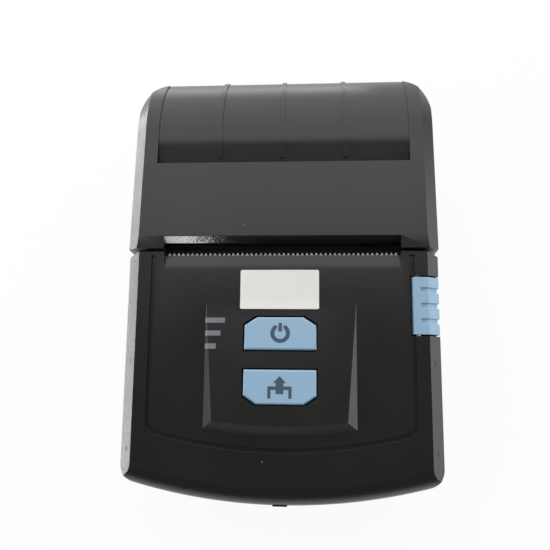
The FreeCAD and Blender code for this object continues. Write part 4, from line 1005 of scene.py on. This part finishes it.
def cross_outline(radius):
    far, near = radius * CROSS_ARM, radius * CROSS_HALF
    quarter = [(near, near), (near, far), (-near, far)]
    turns = ((1, 0), (0, 1), (-1, 0), (0, -1))
    return [(x * cosine - y * sine, x * sine + y * cosine) for cosine, sine in turns for x, y in quarter]


def model_cap(name, radius):
    deselect_all()
    bpy.ops.mesh.primitive_cylinder_add(vertices=CAP_SIDES, radius=radius * MM, depth=CAP_THICK * MM)
    cap = bpy.context.object
    cap.name = name
    choose_edges(cap, lambda start, end: min(start.z, end.z) > 0)
    bpy.ops.mesh.bevel(offset=CAP_ROUND * MM, segments=4, affect="EDGES")
    bpy.ops.object.mode_set(mode="OBJECT")
    cross_low = CAP_THICK / 2 - CROSS_DEEP
    cutter = outline_piece(name + "_cross", cross_outline(radius), cross_low, CAP_THICK)
    apply_modifier(cap, "BOOLEAN", operation="DIFFERENCE", object=cutter, solver="EXACT")
    bpy.data.objects.remove(cutter)
    return cap


def cap_screws(name, node_name, radius, facing):
    low, high = (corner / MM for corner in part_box(node_name))
    face = high.z + CAP_THICK / 2 if facing > 0 else low.z - CAP_THICK / 2
    pattern = model_cap(name, radius)
    turn = Matrix.Rotation(0 if facing > 0 else math.pi, 4, "X")
    inset = radius * HEAD_TO_CAP
    across = (low.x + inset, high.x - inset)
    along = (low.y + inset, high.y - inset)
    places = {(x, y) for x in across for y in along}
    caps = []
    for index, (x, y) in enumerate(sorted(places)):
        cap = linked_copy(name + "_copy", pattern.data)
        swing = Matrix.Rotation(SCREW_SWING * index, 4, "Z")
        cap.data.transform(Matrix.Translation(Vector((x, y, face)) * MM) @ swing @ turn)
        caps.append(cap)
    bpy.data.objects.remove(pattern)
    joined = join(caps)
    joined.name = name
    smooth(joined)
    fix_to(joined, node_name, FINISHES[SLOT_OF[node_name]])
    print(name, "caps", len(places), "screws")


cap_screws("sole_screw_caps", "case_screws", SOLE_CAP, -1)
for place in ("frame", "board", "well"):
    cap_screws(place + "_caps", place + "_screws", SMALL_CAP, 1)

# %% [markdown]
# The charge socket is a drawn steel shell round a black tongue that carries the contacts. The tongue
# starts as a cube at the mouth's back wall, its mouth-side edges are bevelled into a lead-in, and it
# is fixed in the shell.

# %% Socket tongue
TONGUE_HALF = 2.3
TONGUE_THICK = 0.7
MOUTH_BACK = 6.0
TONGUE_SHORT = 0.6
TONGUE_LEAD = 0.25
TOUCH = 0.01

socket_low, socket_high = (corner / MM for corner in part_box("charge_socket"))
socket_middle = (socket_low + socket_high) / 2
tongue_front = socket_low.x + TONGUE_SHORT
tongue_back = socket_low.x + MOUTH_BACK
deselect_all()
tongue_centre = Vector(((tongue_front + tongue_back) / 2, socket_middle.y, socket_middle.z))
tongue_size = Vector((tongue_back - tongue_front, 2 * TONGUE_HALF, TONGUE_THICK))
bpy.ops.mesh.primitive_cube_add(size=1, location=tongue_centre * MM, scale=tongue_size * MM)
tongue = bpy.context.object
tongue.name = "socket_tongue"
bpy.ops.object.transform_apply(location=True, rotation=True, scale=True)
choose_edges(tongue, lambda start, end: max(start.x, end.x) < tongue_front + TOUCH)
bpy.ops.mesh.bevel(offset=TONGUE_LEAD * MM, segments=2, affect="EDGES")
bpy.ops.object.mode_set(mode="OBJECT")
smooth(tongue)
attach(tongue, BODY_OF["charge_socket"])
wear_finish(tongue, INNER["component_black"])
print("tongue:", round(tongue_back - tongue_front, 1), "mm long")

# %% [markdown]
# Moulders raise a plain arrow on a sliding battery door to show which way it opens. It is drawn like
# the button marks, behind the finger grooves, and stands out from the door's underside by a hair.

# %% Slide arrow on the battery door
ARROW_HALF, ARROW_LONG, ARROW_THICK = 4.0, 5.0, 0.18
ARROW_SOFT = 0.06
ARROW_TIP_FROM_FRONT = 18.0

door_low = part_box("battery_door")[0] / MM
arrow_tip = door_low.y + ARROW_TIP_FROM_FRONT
arrow_end = arrow_tip + ARROW_LONG
arrow_corners = [(0, arrow_tip), (ARROW_HALF, arrow_end), (-ARROW_HALF, arrow_end)]
arrow = outline_piece("slide_arrow", arrow_corners, door_low.z - ARROW_THICK, ARROW_THICK)
soften(arrow, ARROW_SOFT)
fix_to(arrow, "battery_door", BLACK_PLASTIC)
print("arrow lowest at", round(door_low.z - ARROW_THICK, 2), "mm")

# %% [markdown]
# Ribs under the cover's roof keep the thin moulding stiff. Each one is a strip whose edges are
# rounded and whose two lower corners are cut away so that paper slides past. One rib is modelled and
# copied to three places.

# %% Ribs under the cover's roof
RIB_PLACES = (-20.0, 0.0, 20.0)
RIB_HALF = 0.6
RIB_FRONT, RIB_REAR = 20.0, 36.0
RIB_LOW, ROOF = 40.9, 42.6
RIB_CUT = 0.9 * (ROOF - RIB_LOW)
RIB_SOFT = 0.2


def model_rib():
    deselect_all()
    centre = Vector((0, (RIB_FRONT + RIB_REAR) / 2, (RIB_LOW + ROOF) / 2))
    size = Vector((2 * RIB_HALF, RIB_REAR - RIB_FRONT, ROOF - RIB_LOW))
    bpy.ops.mesh.primitive_cube_add(size=1, location=centre * MM, scale=size * MM)
    rib = bpy.context.object
    rib.name = "roof_ribs"
    bpy.ops.object.transform_apply(location=True, rotation=True, scale=True)

    def is_lower_end(start, end):
        return max(start.z, end.z) < RIB_LOW + TOUCH and abs(start.y - end.y) < TOUCH

    choose_edges(rib, is_lower_end)
    bpy.ops.mesh.bevel(offset=RIB_CUT * MM, segments=1, affect="EDGES")
    bpy.ops.object.mode_set(mode="OBJECT")
    soften(rib, RIB_SOFT)
    return rib


rib = model_rib()
ribs = []
for x in RIB_PLACES:
    copy = linked_copy("rib", rib.data)
    copy.data.transform(Matrix.Translation((x * MM, 0, 0)))
    ribs.append(copy)
bpy.data.objects.remove(rib)
roof_ribs = join(ribs)
roof_ribs.name = "roof_ribs"
fix_to(roof_ribs, "paper_cover", BLACK_PLASTIC)
print("ribs:", len(ribs))

# %% [markdown]
# Last, the script prints that the scene is built.

# %% End
print("scene built")
